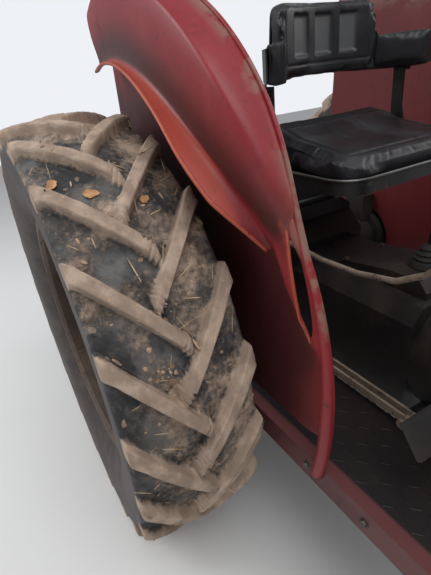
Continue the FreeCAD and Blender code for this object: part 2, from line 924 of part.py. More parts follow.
# Exhaust: a cast manifold on the left and a silencer that stands up through the hood
STACK_X = ENGINE_REAR + 300
STACK_Y = wall + 46
manifold_z = S.head_top - 34
ports = [
    box(
        "exhaust_port_%d" % n,
        (port_x, port_x + 62),
        (wall * 0.8, wall + 30),
        (manifold_z - 24, manifold_z + 24),
    )
    for n, port_x in enumerate([ENGINE_REAR + 60 + 170 * n for n in range(3)], 1)
]
log = cylinder("manifold_log", "x", 32, (ENGINE_REAR + 55, STACK_Y, manifold_z), 410)
riser = cylinder("manifold_riser", "z", 30, (STACK_X, STACK_Y, manifold_z), 78)
riser_flange = cylinder("manifold_flange", "z", 44, (STACK_X, STACK_Y, manifold_z + 64), 14)
node("exhaust_manifold", fuse("exhaust_manifold", *ports, log, riser, riser_flange))
stack_foot = manifold_z + 78
node(
    "exhaust_stack",
    turned(
        "exhaust_stack",
        "z",
        (
            (0, 22),
            (0, 44),
            (12, 44),
            (12, 26),
            (430, 26),
            (450, 55),
            (860, 55),
            (880, 26),
            (1010, 26),
            (1010, 22),
            (882, 22),
            (862, 49),
            (448, 49),
            (428, 22),
        ),
        (STACK_X, STACK_Y, stack_foot),
    ),
)

# Radiator with the fan in front of the timing case
RADIATOR_X = ENGINE_FRONT + 120
rw = S.radiator_half_width
radiator_top = S.hood_front_top - 75
core = box(
    "radiator_core",
    (RADIATOR_X, RADIATOR_X + S.radiator_thickness),
    (-rw, rw),
    (S.support_top, radiator_top - 70),
)
tank = plate(
    "radiator_tank",
    "yz",
    (
        (-rw - 8, radiator_top - 71),
        (rw + 8, radiator_top - 71),
        (rw + 8, radiator_top - 30),
        (rw - 22, radiator_top),
        (22 - rw, radiator_top),
        (-rw - 8, radiator_top - 30),
    ),
    RADIATOR_X - 14,
    RADIATOR_X + S.radiator_thickness + 14,
)
neck = cylinder("radiator_neck", "z", 28, (RADIATOR_X + S.radiator_thickness / 2, 0, radiator_top - 1), 26)
node("radiator", fuse("radiator", core, tank, neck))
FAN_Z = S.block_top - 40
fan_parts = [
    cylinder("fan_hub", "x", 34, (ENGINE_FRONT, 0, FAN_Z), 62),
    cylinder("fan_pulley", "x", 56, (ENGINE_FRONT + 6, 0, FAN_Z), 26),
]
blade = []
for n in range(4):
    vane = Part.makeBox(5, 50, 129, Vector(-2.5, -25, 30))
    vane.rotate(Vector(), Vector(0, 0, 1), 28)
    vane.rotate(Vector(), Vector(1, 0, 0), 90 * n + 45)
    vane.translate(Vector(float(ENGINE_FRONT) + 52, 0, float(FAN_Z)))
    blade.append(shape_of("fan_blade_%d" % (n + 1), vane))
node("cooling_fan", fuse("cooling_fan", *fan_parts, *blade))

# Transmission: gearbox with its bell housing, then the rear housing with the lift cover
BELL_REAR = AXLE_X + S.transmission_front + S.gearbox_length
half = S.gearbox_half_width
low = S.transmission_bottom + 20
gear_case = plate(
    "gear_case",
    "yz",
    (
        (-half * 0.7, low),
        (half * 0.7, low),
        (half, low + 55),
        (half, S.gearbox_top - 40),
        (half * 0.78, S.gearbox_top),
        (-half * 0.78, S.gearbox_top),
        (-half, S.gearbox_top - 40),
        (-half, low + 55),
    ),
    AXLE_X + S.transmission_front,
    BELL_REAR,
)
bell = cylinder(
    "bell_cone", "x", half * 1.02, (BELL_REAR - 1, 0, AXLE_Z), S.bell_length - 69, S.bell_radius - 8
)
bell_rim = cylinder("bell_rim", "x", S.bell_radius, (ENGINE_REAR - 70, 0, AXLE_Z), 70)
gear_lid = plate(
    "gear_lid",
    "xz",
    (
        (BELL_REAR - 300, S.gearbox_top - 1),
        (BELL_REAR - 20, S.gearbox_top - 1),
        (BELL_REAR - 20, S.gearbox_top + 18),
        (BELL_REAR - 42, S.gearbox_top + 44),
        (BELL_REAR - 130, S.gearbox_top + 44),
        (BELL_REAR - 300, S.gearbox_top + 18),
    ),
    -half * 0.55,
    half * 0.55,
)
PEDAL_X = BELL_REAR + 60
PEDAL_Z = S.footboard_top + 15
PEDAL_SEAT = S.gearbox_half_width + 34
pedal_boss = cylinder("pedal_boss", "y", 20, (PEDAL_X, -PEDAL_SEAT, PEDAL_Z), PEDAL_SEAT * 2)
# Seats for the footboards' cross members: at the case and under the bell's rim
MEMBERS = (
    # x, half of the seat's width
    (AXLE_X + S.footboard_rear + 60, S.gearbox_half_width),
    (AXLE_X + S.footboard_front - 150, S.bell_radius - 30),
)
MEMBER_TOP = S.footboard_top - S.footboard_sheet
MEMBER_WIDTH = 55
MEMBER_DEPTH = 34
seats = [
    box(
        "member_seat_%d" % n,
        (x, x + MEMBER_WIDTH),
        (-reach, reach),
        (MEMBER_TOP - MEMBER_DEPTH, MEMBER_TOP),
    )
    for n, (x, reach) in enumerate(MEMBERS, 1)
]
node("gearbox", fuse("gearbox", gear_case, bell, bell_rim, gear_lid, pedal_boss, *seats))

back = AXLE_X - S.transmission_rear
front = AXLE_X + S.transmission_front
case = plate(
    "transmission_case",
    "xz",
    (
        (back, S.transmission_bottom + 60),
        (back + 60, S.transmission_bottom),
        (front, S.transmission_bottom),
        (front, S.transmission_top - 60),
        (front - 60, S.transmission_top),
        (back + 20, S.transmission_top),
        (back, S.transmission_top - 20),
    ),
    -(S.transmission_half_width - 50),
    S.transmission_half_width - 50,
)
axle_boss = cylinder(
    "axle_boss",
    "y",
    S.axle_flange_radius,
    (AXLE_X, -S.transmission_half_width, AXLE_Z),
    S.transmission_half_width * 2,
)
lid = plate(
    "lift_cover",
    "yz",
    (
        (-150, S.transmission_top - 1),
        (150, S.transmission_top - 1),
        (150, S.transmission_top + 14),
        (110, S.lift_shaft_height + 22),
        (-110, S.lift_shaft_height + 22),
        (-150, S.transmission_top + 14),
    ),
    back + 10,
    front - 50,
)
SHAFT_X = AXLE_X - S.lift_shaft_back
ARM_PLANE = S.arm_plane
shaft_housing = cylinder(
    "lift_shaft_housing", "y", 48, (SHAFT_X, -(ARM_PLANE - 26), S.lift_shaft_height), ARM_PLANE * 2 - 52
)
link_pins, link_bosses = [], []
PIVOT_X = AXLE_X - S.link_pivot_back
for side, sign in SIDES:
    inner = S.transmission_half_width - 51
    outer = S.link_plane + 24
    start = inner if sign > 0 else -outer
    link_pins.append(
        cylinder(
            "link_pin_" + side,
            "y",
            S.hitch_pin_radius,
            (PIVOT_X, start, S.link_pivot_height),
            outer - inner,
        )
    )
    boss_end = S.link_plane - 16
    start = inner if sign > 0 else -boss_end
    link_bosses.append(
        cylinder("link_boss_" + side, "y", 30, (PIVOT_X, start, S.link_pivot_height), boss_end - inner)
    )
top_link_ears = [
    box(
        "top_link_ear_%d" % n,
        (back - 60, back + 20),
        (y, y + 14),
        (S.transmission_top - 70, S.transmission_top - 8),
    )
    for n, y in enumerate((-39.5, 25.5), 1)
]
pto_boss = cylinder("pto_boss", "x", 62, (back - 22, 0, S.pto_height), 60)
body = fuse(
    "rear_transmission_body",
    case,
    axle_boss,
    lid,
    shaft_housing,
    *link_pins,
    *link_bosses,
    *top_link_ears,
    pto_boss,
)
TOP_LINK_X = back - 38
TOP_LINK_Z = S.transmission_top - 39
lift_bore = cylinder(
    "lift_shaft_bore", "y", 27 + S.pin_clearance, (SHAFT_X, -ARM_PLANE, S.lift_shaft_height), ARM_PLANE * 2
)
ear_bore = cylinder("top_link_bore", "y", 9.7, (TOP_LINK_X, -45, TOP_LINK_Z), 90)
node("rear_transmission", cut("rear_transmission", body, lift_bore, ear_bore))
node(
    "pto_shaft",
    cylinder("pto_shaft", "x", S.pto_radius, (back - 22 - S.pto_length, 0, S.pto_height), S.pto_length),
)

# Axle housings: trumpets from the transmission out to the wheel bearings
for side, sign in SIDES:
    r = S.axle_housing_radius
    inner = S.transmission_half_width
    outer = S.axle_housing_end
    shaft = S.axle_shaft_radius + S.pin_clearance
    outline = (
        (inner, 0),
        (inner, S.axle_flange_radius),
        (inner + 22, S.axle_flange_radius),
        (inner + 22, r + 26),
        (inner + 60, r + 8),
        (outer - 76, r),
        (outer - 70, r + 22),
        (outer - 20, r + 22),
        (outer, r - 4),
        (outer, shaft),
        (outer - 43, shaft),
        (outer - 43, 0),
    )
    outline = [(sign * as_size(a), b) for a, b in outline]
    housing = turned("axle_trumpet_" + side, "y", outline, (AXLE_X, 0, AXLE_Z))
    low_y, high_y = S.mudguard_plane - 62, S.mudguard_plane - S.mudguard_sheet / 2
    if sign < 0:
        low_y, high_y = -high_y, -low_y
    saddle = box(
        "mudguard_saddle_" + side,
        (AXLE_X - 45, AXLE_X + 45),
        (low_y, high_y),
        (AXLE_Z + r - 8, AXLE_Z + r + 96),
    )
    node("axle_housing_" + side, fuse("axle_housing_" + side, housing, saddle))

# Mudguards: a flat inner plate whose front edge is rolled, with a hollow crown that grows out of
# it, widest a little above the front, and ends just behind the axle
CROWN_STATIONS = (
    # angle up from the front, then the crown's reach, depth, lip radius and lip flare as shares
    (30, 0.600, 0.24, 0.76, 0.13),
    (36, 0.654, 0.47, 0.83, 0.49),
    (43, 0.768, 0.71, 0.905, 0.95),
    (50, 0.875, 0.90, 0.96, 0.89),
    (60, 0.961, 0.98, 0.98, 0.58),
    (72, 0.996, 0.95, 0.99, 0.36),
    (84, 0.996, 0.83, 0.99, 0.24),
    (94, 0.975, 0.70, 1.00, 0.20),
    (102, 0.946, 0.58, 1.00, 0.18),
)
FRONT_EDGE = (
    # angle up from the front, share of the crown's reach
    (-9, 0.446),
    (8, 0.518),
    (24, 0.579),
)


def guard_point(angle, radius, y):
    """A point of the mudguard from its angle and radius about the axle and its distance out."""
    turn = math.radians(angle)
    return Vector(float(AXLE_X) + radius * math.cos(turn), y, float(AXLE_Z) + radius * math.sin(turn))


def crown_section(station, sign):
    """The crown's section at one station, as a closed ribbon one sheet thick."""
    angle, reach_share, depth_share, lip_share, flare_share = station
    sheet_t = float(S.mudguard_sheet)
    plane = float(S.mudguard_plane)
    tyre = float(S.rear_tyre_radius)
    skirt = plane + float(S.mudguard_depth) * depth_share
    top = tyre + float(S.mudguard_crown_gap) * reach_share
    lip = tyre + float(S.mudguard_lip_gap) * lip_share
    flare = skirt + float(S.mudguard_lip_width) * flare_share
    rounding = min(26.0, (skirt - plane) * 0.5)
    wall = top - rounding * 0.75 - lip
    path = (
        (plane - 1.2, top - 38),
        (plane + 2, top - 12),
        (plane + rounding * 0.45, top - 1),
        (skirt - rounding * 0.60, top - 2),
        (skirt - 3, top - rounding * 0.75),
        (skirt, lip + wall * 0.62),
        (skirt - rounding * 0.20, lip + wall * 0.18),
        (skirt, lip + 4),
        (flare + 4, lip - 3),
    )
    inner = []
    for i, (y, r) in enumerate(path):
        before = path[max(i - 1, 0)]
        after = path[min(i + 1, len(path) - 1)]
        dy, dr = after[0] - before[0], after[1] - before[1]
        size = math.hypot(dy, dr)
        inner.append((y + dr / size * sheet_t, r - dy / size * sheet_t))
    return [tuple(guard_point(angle, r, sign * y)) for y, r in list(path) + inner[::-1]]


EDGE_INSET = 26  # the plate's edge lies this far inside the bead's and the crown's outline
GUARD_HEEL = 60  # the plate widens by this much from its rear top corner down to its foot
GUARD_NOTCH = 40
BEAD_OUT = 11
EDGE_REACH = {angle: share for angle, share, *_ in FRONT_EDGE + CROWN_STATIONS}
EDGE_ARCS = ((-9, 8, 24), (24, 30, 36), (36, 43, 50), (50, 60, 72), (72, 84, 102))


def edge_point(angle, y, inset):
    """A point of the plate's outline, or as far inside it as asked."""
    reach = float(S.rear_tyre_radius) + float(S.mudguard_crown_gap) * EDGE_REACH[angle]
    return guard_point(angle, reach - inset, y)


def guard_web(sign):
    """The flat plate inside the outline, cut level above the platform and round the axle."""
    sheet_t = float(S.mudguard_sheet)
    near = sign * float(S.mudguard_plane) - sheet_t / 2
    edges = [Part.Arc(*(edge_point(a, near, EDGE_INSET) for a in arc)).toShape() for arc in EDGE_ARCS]
    first, last = edge_point(-9, near, EDGE_INSET), edge_point(102, near, EDGE_INSET)
    middle = Vector(last.x - GUARD_HEEL, near, float(S.mudguard_foot))
    corner = Vector(last.x - GUARD_HEEL, near, first.z)
    edges += [Part.makeLine(last, middle), Part.makeLine(middle, corner), Part.makeLine(corner, first)]
    face = Part.Face(Part.Wire(edges))
    web = face.extrude(Vector(0, sheet_t, 0))
    foot = float(S.mudguard_foot)
    below = Part.makeBox(3000, 40, 1500, Vector(float(AXLE_X) - 1500, near - 20, foot - 1500))
    notch_radius = float(S.axle_housing_radius) + GUARD_NOTCH
    notch = Part.makeCylinder(
        notch_radius, 40, Vector(float(AXLE_X), near - 20, float(AXLE_Z)), Vector(0, 1, 0)
    )
    return web.cut(below).cut(notch)



def guard_bead(sign):
    """The rolled front edge: a round bead along the outline's lowest arc, down to the rail."""
    y = sign * (float(S.mudguard_plane) + BEAD_OUT)
    bead_r = float(S.mudguard_bead_radius)
    circle = Part.Arc(*(edge_point(a, y, 0) for a in EDGE_ARCS[0])).toShape().Curve
    ring = Part.makeTorus(circle.Radius - bead_r - 5, bead_r, circle.Center, Vector(0, 1, 0))
    low = float(S.footboard_top) + float(S.pin_clearance)
    start = guard_point(31, 2000, y)
    reach = Part.makePolygon(
        [
            Vector(float(AXLE_X), y - 100, float(AXLE_Z)),
            Vector(start.x, y - 100, start.z),
            Vector(start.x, y - 100, low),
            Vector(float(AXLE_X) + 400, y - 100, low),
            Vector(float(AXLE_X) + 400, y - 100, float(AXLE_Z)),
            Vector(float(AXLE_X), y - 100, float(AXLE_Z)),
        ]
    )
    return ring.common(Part.Face(reach).extrude(Vector(0, 200, 0)))


SLIT_TOP = (33.0, 137)
SLIT_FOOT = (16.7, 97)
SLIT_SIDES = {"front": (24.5, 124), "rear": (23.6, 97)}  # angle up, distance outside the tyre
SLIT_BEAD = 4


def slit_arc(side, y):
    """One edge of the leaf-shaped slit behind the rolled front edge."""
    places = (SLIT_FOOT, SLIT_SIDES[side], SLIT_TOP)
    return Part.Arc(*(guard_point(a, float(S.rear_tyre_radius) + out, y) for a, out in places)).toShape()


def guard_slit(sign):
    """The slit as a tool that goes through the plate and the crown, and the bead on its rear edge."""
    near = sign * float(S.mudguard_plane) - sign * 60
    leaf = Part.Face(Part.Wire([slit_arc("front", near), slit_arc("rear", near)]))
    tool = leaf.extrude(Vector(0, sign * 200, 0))
    spine = slit_arc("rear", sign * (float(S.mudguard_plane) + float(S.mudguard_sheet) / 2))
    start = spine.valueAt(spine.FirstParameter)
    ring = Part.Wire(Part.makeCircle(SLIT_BEAD, start, spine.tangentAt(spine.FirstParameter)))
    return tool, Part.Wire(spine).makePipeShell([ring], True)


for side, sign in SIDES:
    crown = loft([crown_section(station, sign) for station in CROWN_STATIONS])
    slit, bead = guard_slit(sign)
    whole = guard_web(sign).fuse([crown, guard_bead(sign)]).cut(slit).fuse(bead).removeSplitter()
    node("mudguard_" + side, shape_of("mudguard_" + side, whole))

# Platform: footboards with an angle-iron rail outside, on two cross members each side
for side, sign in SIDES:
    rail_out = S.mudguard_plane - S.mudguard_sheet / 2 - S.pin_clearance + 8
    inner = S.gearbox_half_width + 62
    top = S.footboard_top
    t = S.footboard_sheet
    x0, x1 = AXLE_X + S.footboard_rear, AXLE_X + S.footboard_front
    spans = (inner, rail_out) if sign > 0 else (-rail_out, -inner)
    tread = plate(
        "footboard_tread_" + side,
        "xz",
        (
            (x0, top - t),
            (x1, top - t),
            (x1 + 85, top + 55 - t),
            (x1 + 85 - 3, top + 55),
            (x1 - 2, top),
            (x0, top),
        ),
        *spans,
    )
    rail_in = rail_out - S.rail_thickness
    spans = (rail_in, rail_out) if sign > 0 else (-rail_out, -rail_in)
    rail = box("footboard_rail_" + side, (x0 - 60, x1 + 30), spans, (top - S.rail_height, top))
    members = []
    for n, (x, reach) in enumerate(MEMBERS, 1):
        spans = (reach, rail_in + 1) if sign > 0 else (-rail_in - 1, -reach)
        tall = (MEMBER_TOP - MEMBER_DEPTH, MEMBER_TOP)
        members.append(box("cross_member_%s_%d" % (side, n), (x, x + MEMBER_WIDTH), spans, tall))
    node("footboard_" + side, fuse("footboard_" + side, tread, rail, *members))

# Hood: a sheet-steel cover over the engine, open below, with holes for the two stacks
def hood_ring(x, half_width, top, skirt, corner, inset):
    """One section of the hood: up one side, round the corner, over the top and down again."""
    half_width, top, corner = half_width - inset, top - inset, corner - inset
    steps = 5
    ring = [(x, -half_width, skirt)]
    for hand in (-1, 1):
        turns = [math.pi - n * math.pi / 2 / steps for n in range(steps + 1)]
        if hand > 0:
            turns = [math.pi / 2 - n * math.pi / 2 / steps for n in range(steps + 1)]
        for turn in turns:
            y = hand * (half_width - corner) + corner * math.cos(turn)
            ring.append((x, y, top - corner - 10 + corner * math.sin(turn)))
        if hand < 0:
            ring.append((x, 0, top))
    ring.append((x, half_width, skirt))
    return ring


HOOD_REAR = ENGINE_REAR - 40
HOOD_FRONT = RADIATOR_X + 20
shells = []
for inset in (0.0, float(S.hood_sheet)):
    skirt = float(S.hood_rear_top - S.hood_depth) - inset
    rings = [
        hood_ring(
            float(x) + (-1 if end == 0 else 1) * inset,
            float(half_width),
            float(top),
            skirt,
            float(S.hood_corner),
            inset,
        )
        for end, (x, half_width, top) in enumerate(
            (
                (HOOD_REAR, S.hood_rear_half_width, S.hood_rear_top),
                (HOOD_FRONT, S.hood_front_half_width, S.hood_front_top),
            )
        )
    ]
    shells.append(loft(rings, ruled=True))
AIR_X = ENGINE_FRONT - 20
AIR_Y = -(wall + 30)
hood_shape = shells[0].cut(shells[1])
for hole_x, hole_y, hole_r in ((STACK_X, STACK_Y, 32), (AIR_X, AIR_Y, 34)):
    hood_shape = hood_shape.cut(Part.makeCylinder(hole_r, 600, Vector(float(hole_x), float(hole_y), 1000)))
node("hood", shape_of("hood", hood_shape.removeSplitter()))

# Air cleaner: an oil-bath canister beside the engine with its intake cap above the hood
canister_y = AIR_Y - 26
bracket_z = S.block_top - 70
air_parts = [
    cylinder("air_canister", "z", 50, (AIR_X, canister_y, S.block_bottom + 120), 230),
    cylinder("air_pipe", "z", 28, (AIR_X, AIR_Y, S.block_bottom + 340), 620),
    cylinder("air_cap", "z", 62, (AIR_X, AIR_Y, S.block_bottom + 940), 52, 48),
    box("air_bracket", (AIR_X - 48, AIR_X - 33), (canister_y, -wall * 0.86), (bracket_z, bracket_z + 40)),
]
node("air_cleaner", fuse("air_cleaner", *air_parts))

# Nose: the surround of the radiator, with a slatted grille and two lamps in its face
NOSE_REAR = HOOD_FRONT + 4
NOSE_FRONT = NOSE_REAR + S.nose_length


def nose_ring(x, inset, shrink):
    """The nose's section: a tall rectangle with its top corners rounded like the hood's."""
    half_width = float(S.hood_front_half_width) - inset - shrink
    top = float(S.hood_front_top) - inset - shrink
    low = float(S.nose_bottom) + inset + shrink
    corner = max(float(S.hood_corner) - inset - shrink * 0.4, 10.0)
    ring = hood_ring(x, half_width, top, low, corner, 0.0)
    return ring


nose_rear, nose_front = float(NOSE_REAR), float(NOSE_FRONT)
wall_t = float(S.hood_sheet)
bevel = 50.0
pinch = 22.0


def nose_shrink(x):
    """How far the nose has drawn in where its front edge is rounded off."""
    return max(0.0, (x - (nose_front - bevel)) * pinch / bevel)


def nose_loft(stations, inset):
    """A solid inside the nose's outline between stations along x."""
    return loft([nose_ring(x, inset, nose_shrink(x)) for x in stations], ruled=True)


outer = nose_loft((nose_rear, nose_front - bevel, nose_front), 0)
inner = nose_loft((nose_rear - 1, nose_front - bevel, nose_front + 1), wall_t)
foot_gap = Part.makeBox(
    float(RADIATOR_X + S.radiator_thickness) + 20 - nose_rear + 2,
    2 * float(rw) + 30,
    40,
    Vector(nose_rear - 2, -float(rw) - 15, float(S.nose_bottom) - 10),
)
nose_shape = outer.cut(inner).cut(foot_gap)
node("nose_surround", shape_of("nose_surround", nose_shape.removeSplitter()))

GRILLE_X = NOSE_FRONT - 30
LAMP_Y = S.hood_front_half_width - 115
LAMP_Z = S.hood_front_top - 125
opening_half = S.hood_front_half_width - S.hood_sheet - 22
opening_low = S.nose_bottom + S.hood_sheet + 22
grille_rear = float(GRILLE_X)
frame_outer = nose_loft((grille_rear, grille_rear + 12), wall_t + 0.3)
frame_inner = nose_loft((grille_rear - 1, grille_rear + 13), wall_t + 24)
grille_shape = frame_outer.cut(frame_inner)
slat_count = 15
slat_low = float(opening_low) + 30
slat_high = float(S.hood_front_top) - 70
for n in range(slat_count):
    z = slat_low + (slat_high - slat_low) * n / (slat_count - 1)
    wide = float(opening_half) - 8
    slat = Part.makeBox(12, 2 * wide, 7, Vector(float(GRILLE_X), -wide, z))
    grille_shape = grille_shape.fuse(slat)
post = Part.makeBox(
    12,
    26,
    float(S.hood_front_top) - 40 - float(opening_low),
    Vector(float(GRILLE_X), -13, float(opening_low)),
)
grille_shape = grille_shape.fuse(post)
lamp_r = float(S.headlamp_radius)
for hand in (-1, 1):
    at = Vector(float(GRILLE_X) - 1, hand * float(LAMP_Y), float(LAMP_Z))
    ring = Part.makeCylinder(lamp_r + 12, 12, at + Vector(1, 0, 0), Vector(1, 0, 0))
    grille_shape = grille_shape.fuse(ring)
for hand in (-1, 1):
    at = Vector(float(GRILLE_X) - 1, hand * float(LAMP_Y), float(LAMP_Z))
    grille_shape = grille_shape.cut(
        Part.makeCylinder(lamp_r + 0.3, 30, at - Vector(5, 0, 0), Vector(1, 0, 0))
    )
node("grille", shape_of("grille", grille_shape.removeSplitter()))
for side, sign in SIDES:
    centre = (GRILLE_X, sign * LAMP_Y, LAMP_Z)
    r = S.headlamp_radius
    node(
        "headlamp_" + side,
        turned(
            "headlamp_" + side,
            "x",
            (
                (-58, 0),
                (-58, r * 0.35),
                (-30, r * 0.82),
                (-8, r),
                (16, r),
                (16, r - 7),
                (20, r * 0.6),
                (23, 0),
            ),
            centre,
        ),
    )

# Dash: the panel that closes the hood's rear end, and the steering column behind it
DASH_X = HOOD_REAR - 22
dash_foot = float(AXLE_Z + S.bell_radius + S.pin_clearance)
dash_half = float(S.hood_rear_half_width) - 2
dash_top = float(S.hood_rear_top) - 2
dash_shape = loft(
    [
        hood_ring(float(DASH_X) + dx, dash_half, dash_top, dash_foot, float(S.hood_corner), 0.0)
        for dx in (0, 21.7)
    ],
    ruled=True,
)
column_axis = Vector(
    -math.sin(math.radians(float(S.column_tilt))), 0, math.cos(math.radians(float(S.column_tilt)))
)
WHEEL_X = AXLE_X + S.steering_wheel_forward
WHEEL_Z = S.steering_wheel_height
hub = Vector(float(WHEEL_X), 0, float(WHEEL_Z))
tube_top = hub - column_axis * 34
tube_foot = hub - column_axis * 330
column = Part.makeCylinder(26, 296, tube_foot, column_axis)
cowl_half = 120
cowl = Part.makePolygon(
    [
        Vector(float(DASH_X), -cowl_half, float(S.gearbox_top) + 100),
        Vector(float(DASH_X), -cowl_half, float(S.hood_rear_top) - 70),
        Vector(float(DASH_X) - 95, -cowl_half, float(S.hood_rear_top) - 130),
        Vector(float(DASH_X) - 60, -cowl_half, float(S.gearbox_top) + 100),
        Vector(float(DASH_X), -cowl_half, float(S.gearbox_top) + 100),
    ]
)
cowl = Part.Face(cowl).extrude(Vector(0, 2 * cowl_half, 0))
column_bore = Part.makeCylinder(13.3, 61, tube_top - column_axis * 60, column_axis)
dash_shape = dash_shape.fuse([cowl, column]).cut(column_bore)
node("dash_panel", shape_of("dash_panel", dash_shape.removeSplitter()))

ring_r = S.steering_wheel_radius
turn = Rotation(Vector(0, 1, 0), -float(S.column_tilt))
wheel = Part.makeTorus(float(ring_r), float(S.steering_rim_radius))
wheel = wheel.fuse(Part.makeCone(26, 36, 30, Vector(0, 0, -28)))
wheel = wheel.fuse(Part.makeCylinder(13, 60, Vector(0, 0, -88)))
for n in range(3):
    spoke = Part.makeCylinder(7, float(ring_r), Vector(0, 0, -12), Vector(1, 0, 12 / float(ring_r)))
    spoke.rotate(Vector(), Vector(0, 0, 1), 120 * n)
    wheel = wheel.fuse(spoke)
steering_wheel = shape_of("steering_wheel", wheel.removeSplitter())
steering_wheel.Placement = Placement(hub, turn)
node("steering_wheel", steering_wheel)

# Seat: a bracket on the lift cover, a pressed pan, a dished cushion and a curved backrest whose
# lower part reaches forward as two flared wings
x0, x1 = AXLE_X + S.seat_rear, AXLE_X + S.seat_front
half = S.seat_half_width
LID_TOP = S.lift_shaft_height + 22
PAN_SHEET = 5
PAN_LIP = 34
SEAT_GAP = 0.3
CUSHION_FRONT = S.seat_base + S.cushion_front_rise
CUSHION_REAR = S.seat_base + S.cushion_rear_rise
BACKREST_LOW = S.seat_base + S.backrest_rise
BACKREST_TOP = BACKREST_LOW + S.backrest_height
WING_TOP = BACKREST_LOW + S.wing_height
seat_base = box("seat_base", (AXLE_X - 40, AXLE_X + 190), (-95, 95), (LID_TOP, LID_TOP + 14))
legs = []
for hand, (low_y, high_y) in enumerate(((-90, -80), (80, 90)), 1):
    legs.append(
        plate(
            "seat_leg_%d" % hand,
            "xz",
            (
                (AXLE_X - 20, LID_TOP + 13),
                (AXLE_X + 170, LID_TOP + 13),
                (AXLE_X + 430, S.seat_base - 22),
                (AXLE_X + 430, S.seat_base),
                (AXLE_X + 230, S.seat_base),
            ),
            low_y,
            high_y,
        )
    )
seat_rails = box("seat_rails", (AXLE_X + 240, AXLE_X + 430), (-90, 90), (S.seat_base - 12, S.seat_base))
node("seat_support", fuse("seat_support", seat_base, *legs, seat_rails))


def seat_outline(grow):
    """The seat's plan: square with rounded front corners, a little narrower at the back."""
    return (
        (x0 - grow, -half + 42 - grow),
        (x0 + 60, -half - grow),
        (x1 - 70, -half - grow, 70 + grow),
        (x1 + grow, -half + 70),
        (x1 + grow, half - 70, 70 + grow),
        (x1 - 70, half + grow),
        (x0 + 60, half + grow),
        (x0 - grow, half - 42 + grow),
    )


pan_floor = plate("seat_pan_tray", "xy", seat_outline(0), S.seat_base, S.seat_base + PAN_LIP)
pan_inside = plate(
    "seat_pan_hollow", "xy", seat_outline(-PAN_SHEET), S.seat_base + PAN_SHEET, S.seat_base + PAN_LIP + 1
)
cushion_block = plate(
    "cushion_block",
    "xy",
    seat_outline(-(PAN_SHEET + SEAT_GAP)),
    S.seat_base + PAN_SHEET + SEAT_GAP,
    CUSHION_REAR,
)
cushion_slope = plate(
    "cushion_slope",
    "xz",
    (
        (x0 + 120, CUSHION_FRONT + 22),
        (x1 - 60, CUSHION_FRONT),
        (x1 + 60, CUSHION_FRONT - 34),
        (x1 + 60, CUSHION_REAR + 60),
        (x0 + 20, CUSHION_REAR + 60),
        (x0 + 42, CUSHION_REAR - 10),
    ),
    -half - 20,
    half + 20,
)
node("seat_cushion", cut("seat_cushion", cushion_block, cushion_slope))

# The backrest: a padded lining inside a steel shell, both one curve in plan
back_x = AXLE_X + S.seat_rear - 40
BACK_TURN = math.radians(22)
WING_TURN = math.radians(57)


def back_curve(grow):
    """The backrest's plan from its middle to a wing's tip, as far outside its back as asked."""
    middle = back_x + S.backrest_bend
    first_x = middle - (S.backrest_bend + grow) * math.cos(BACK_TURN)
    first_y = (S.backrest_bend + grow) * math.sin(BACK_TURN)
    pull = S.backrest_bend - S.wing_bend
    second_x = middle - pull * math.cos(BACK_TURN) - (S.wing_bend + grow) * math.cos(WING_TURN)
    second_y = pull * math.sin(BACK_TURN) + (S.wing_bend + grow) * math.sin(WING_TURN)
    tip_x = second_x + S.wing_length * math.sin(WING_TURN)
    tip_y = second_y + S.wing_length * math.cos(WING_TURN)
    return (first_x, first_y), (second_x, second_y), (tip_x, tip_y)


def wrap(outer, inner):
    """The strip in plan between two of the backrest's curves, from wing tip to wing tip."""
    (oax, oay), (obx, oby), (otx, oty) = back_curve(outer)
    (iax, iay), (ibx, iby), (itx, ity) = back_curve(inner)
    wide, tight = S.backrest_bend, S.wing_bend
    return (
        (otx, -oty),
        (itx, -ity),
        (ibx, -iby, -(tight + inner)),
        (iax, -iay, -(wide + inner)),
        (iax, iay, -(tight + inner)),
        (ibx, iby),
        (itx, ity),
        (otx, oty),
        (obx, oby, tight + outer),
        (oax, oay, wide + outer),
        (oax, -oay, tight + outer),
        (obx, -oby),
    )


def back_panel(name, grow):
    """The upright panel's outline seen from the front, narrower at its rounded top."""
    wide = S.backrest_half_width - grow
    slim = wide - 16
    top = BACKREST_TOP - grow
    bend = 30
    return plate(
        name,
        "yz",
        (
            (-wide, BACKREST_LOW + 12),
            (wide, BACKREST_LOW + 12),
            (slim, top - bend, bend),
            (slim - bend, top),
            (-slim + bend, top, bend),
            (-slim, top - bend),
        ),
        back_x - 60,
        back_x + 160,
    )


def backrest(name, outer, inner, inset):
    """A band with wings and the panel above it, as one curved wall."""
    band = plate(name + "_band", "xy", wrap(outer, inner), BACKREST_LOW + inset, WING_TOP - inset)
    wall = plate(name + "_wall", "xy", wrap(outer, inner), BACKREST_LOW + 12, BACKREST_TOP)
    panel = doc.addObject("Part::MultiCommon", name + "_panel")
    panel.Shapes = [wall, back_panel(name + "_front", inset)]
    return [band, panel]


node("backrest_pad", fuse("backrest_pad", *backrest("backrest_lining", 0, -S.backrest_thickness, 0)))
SHELL = 4.3
shell = backrest("backrest_shell", SHELL, SEAT_GAP, 8)
stays = []
stay_x = (x0 + 58, x0 + 94)
stay_top = BACKREST_LOW - 1


def wing_y(x, grow):
    """How far out a wing's straight part stands at one place along the tractor."""
    _, (bend_x, bend_y), _ = back_curve(grow)
    return bend_y + (x - bend_x) / math.tan(WING_TURN)


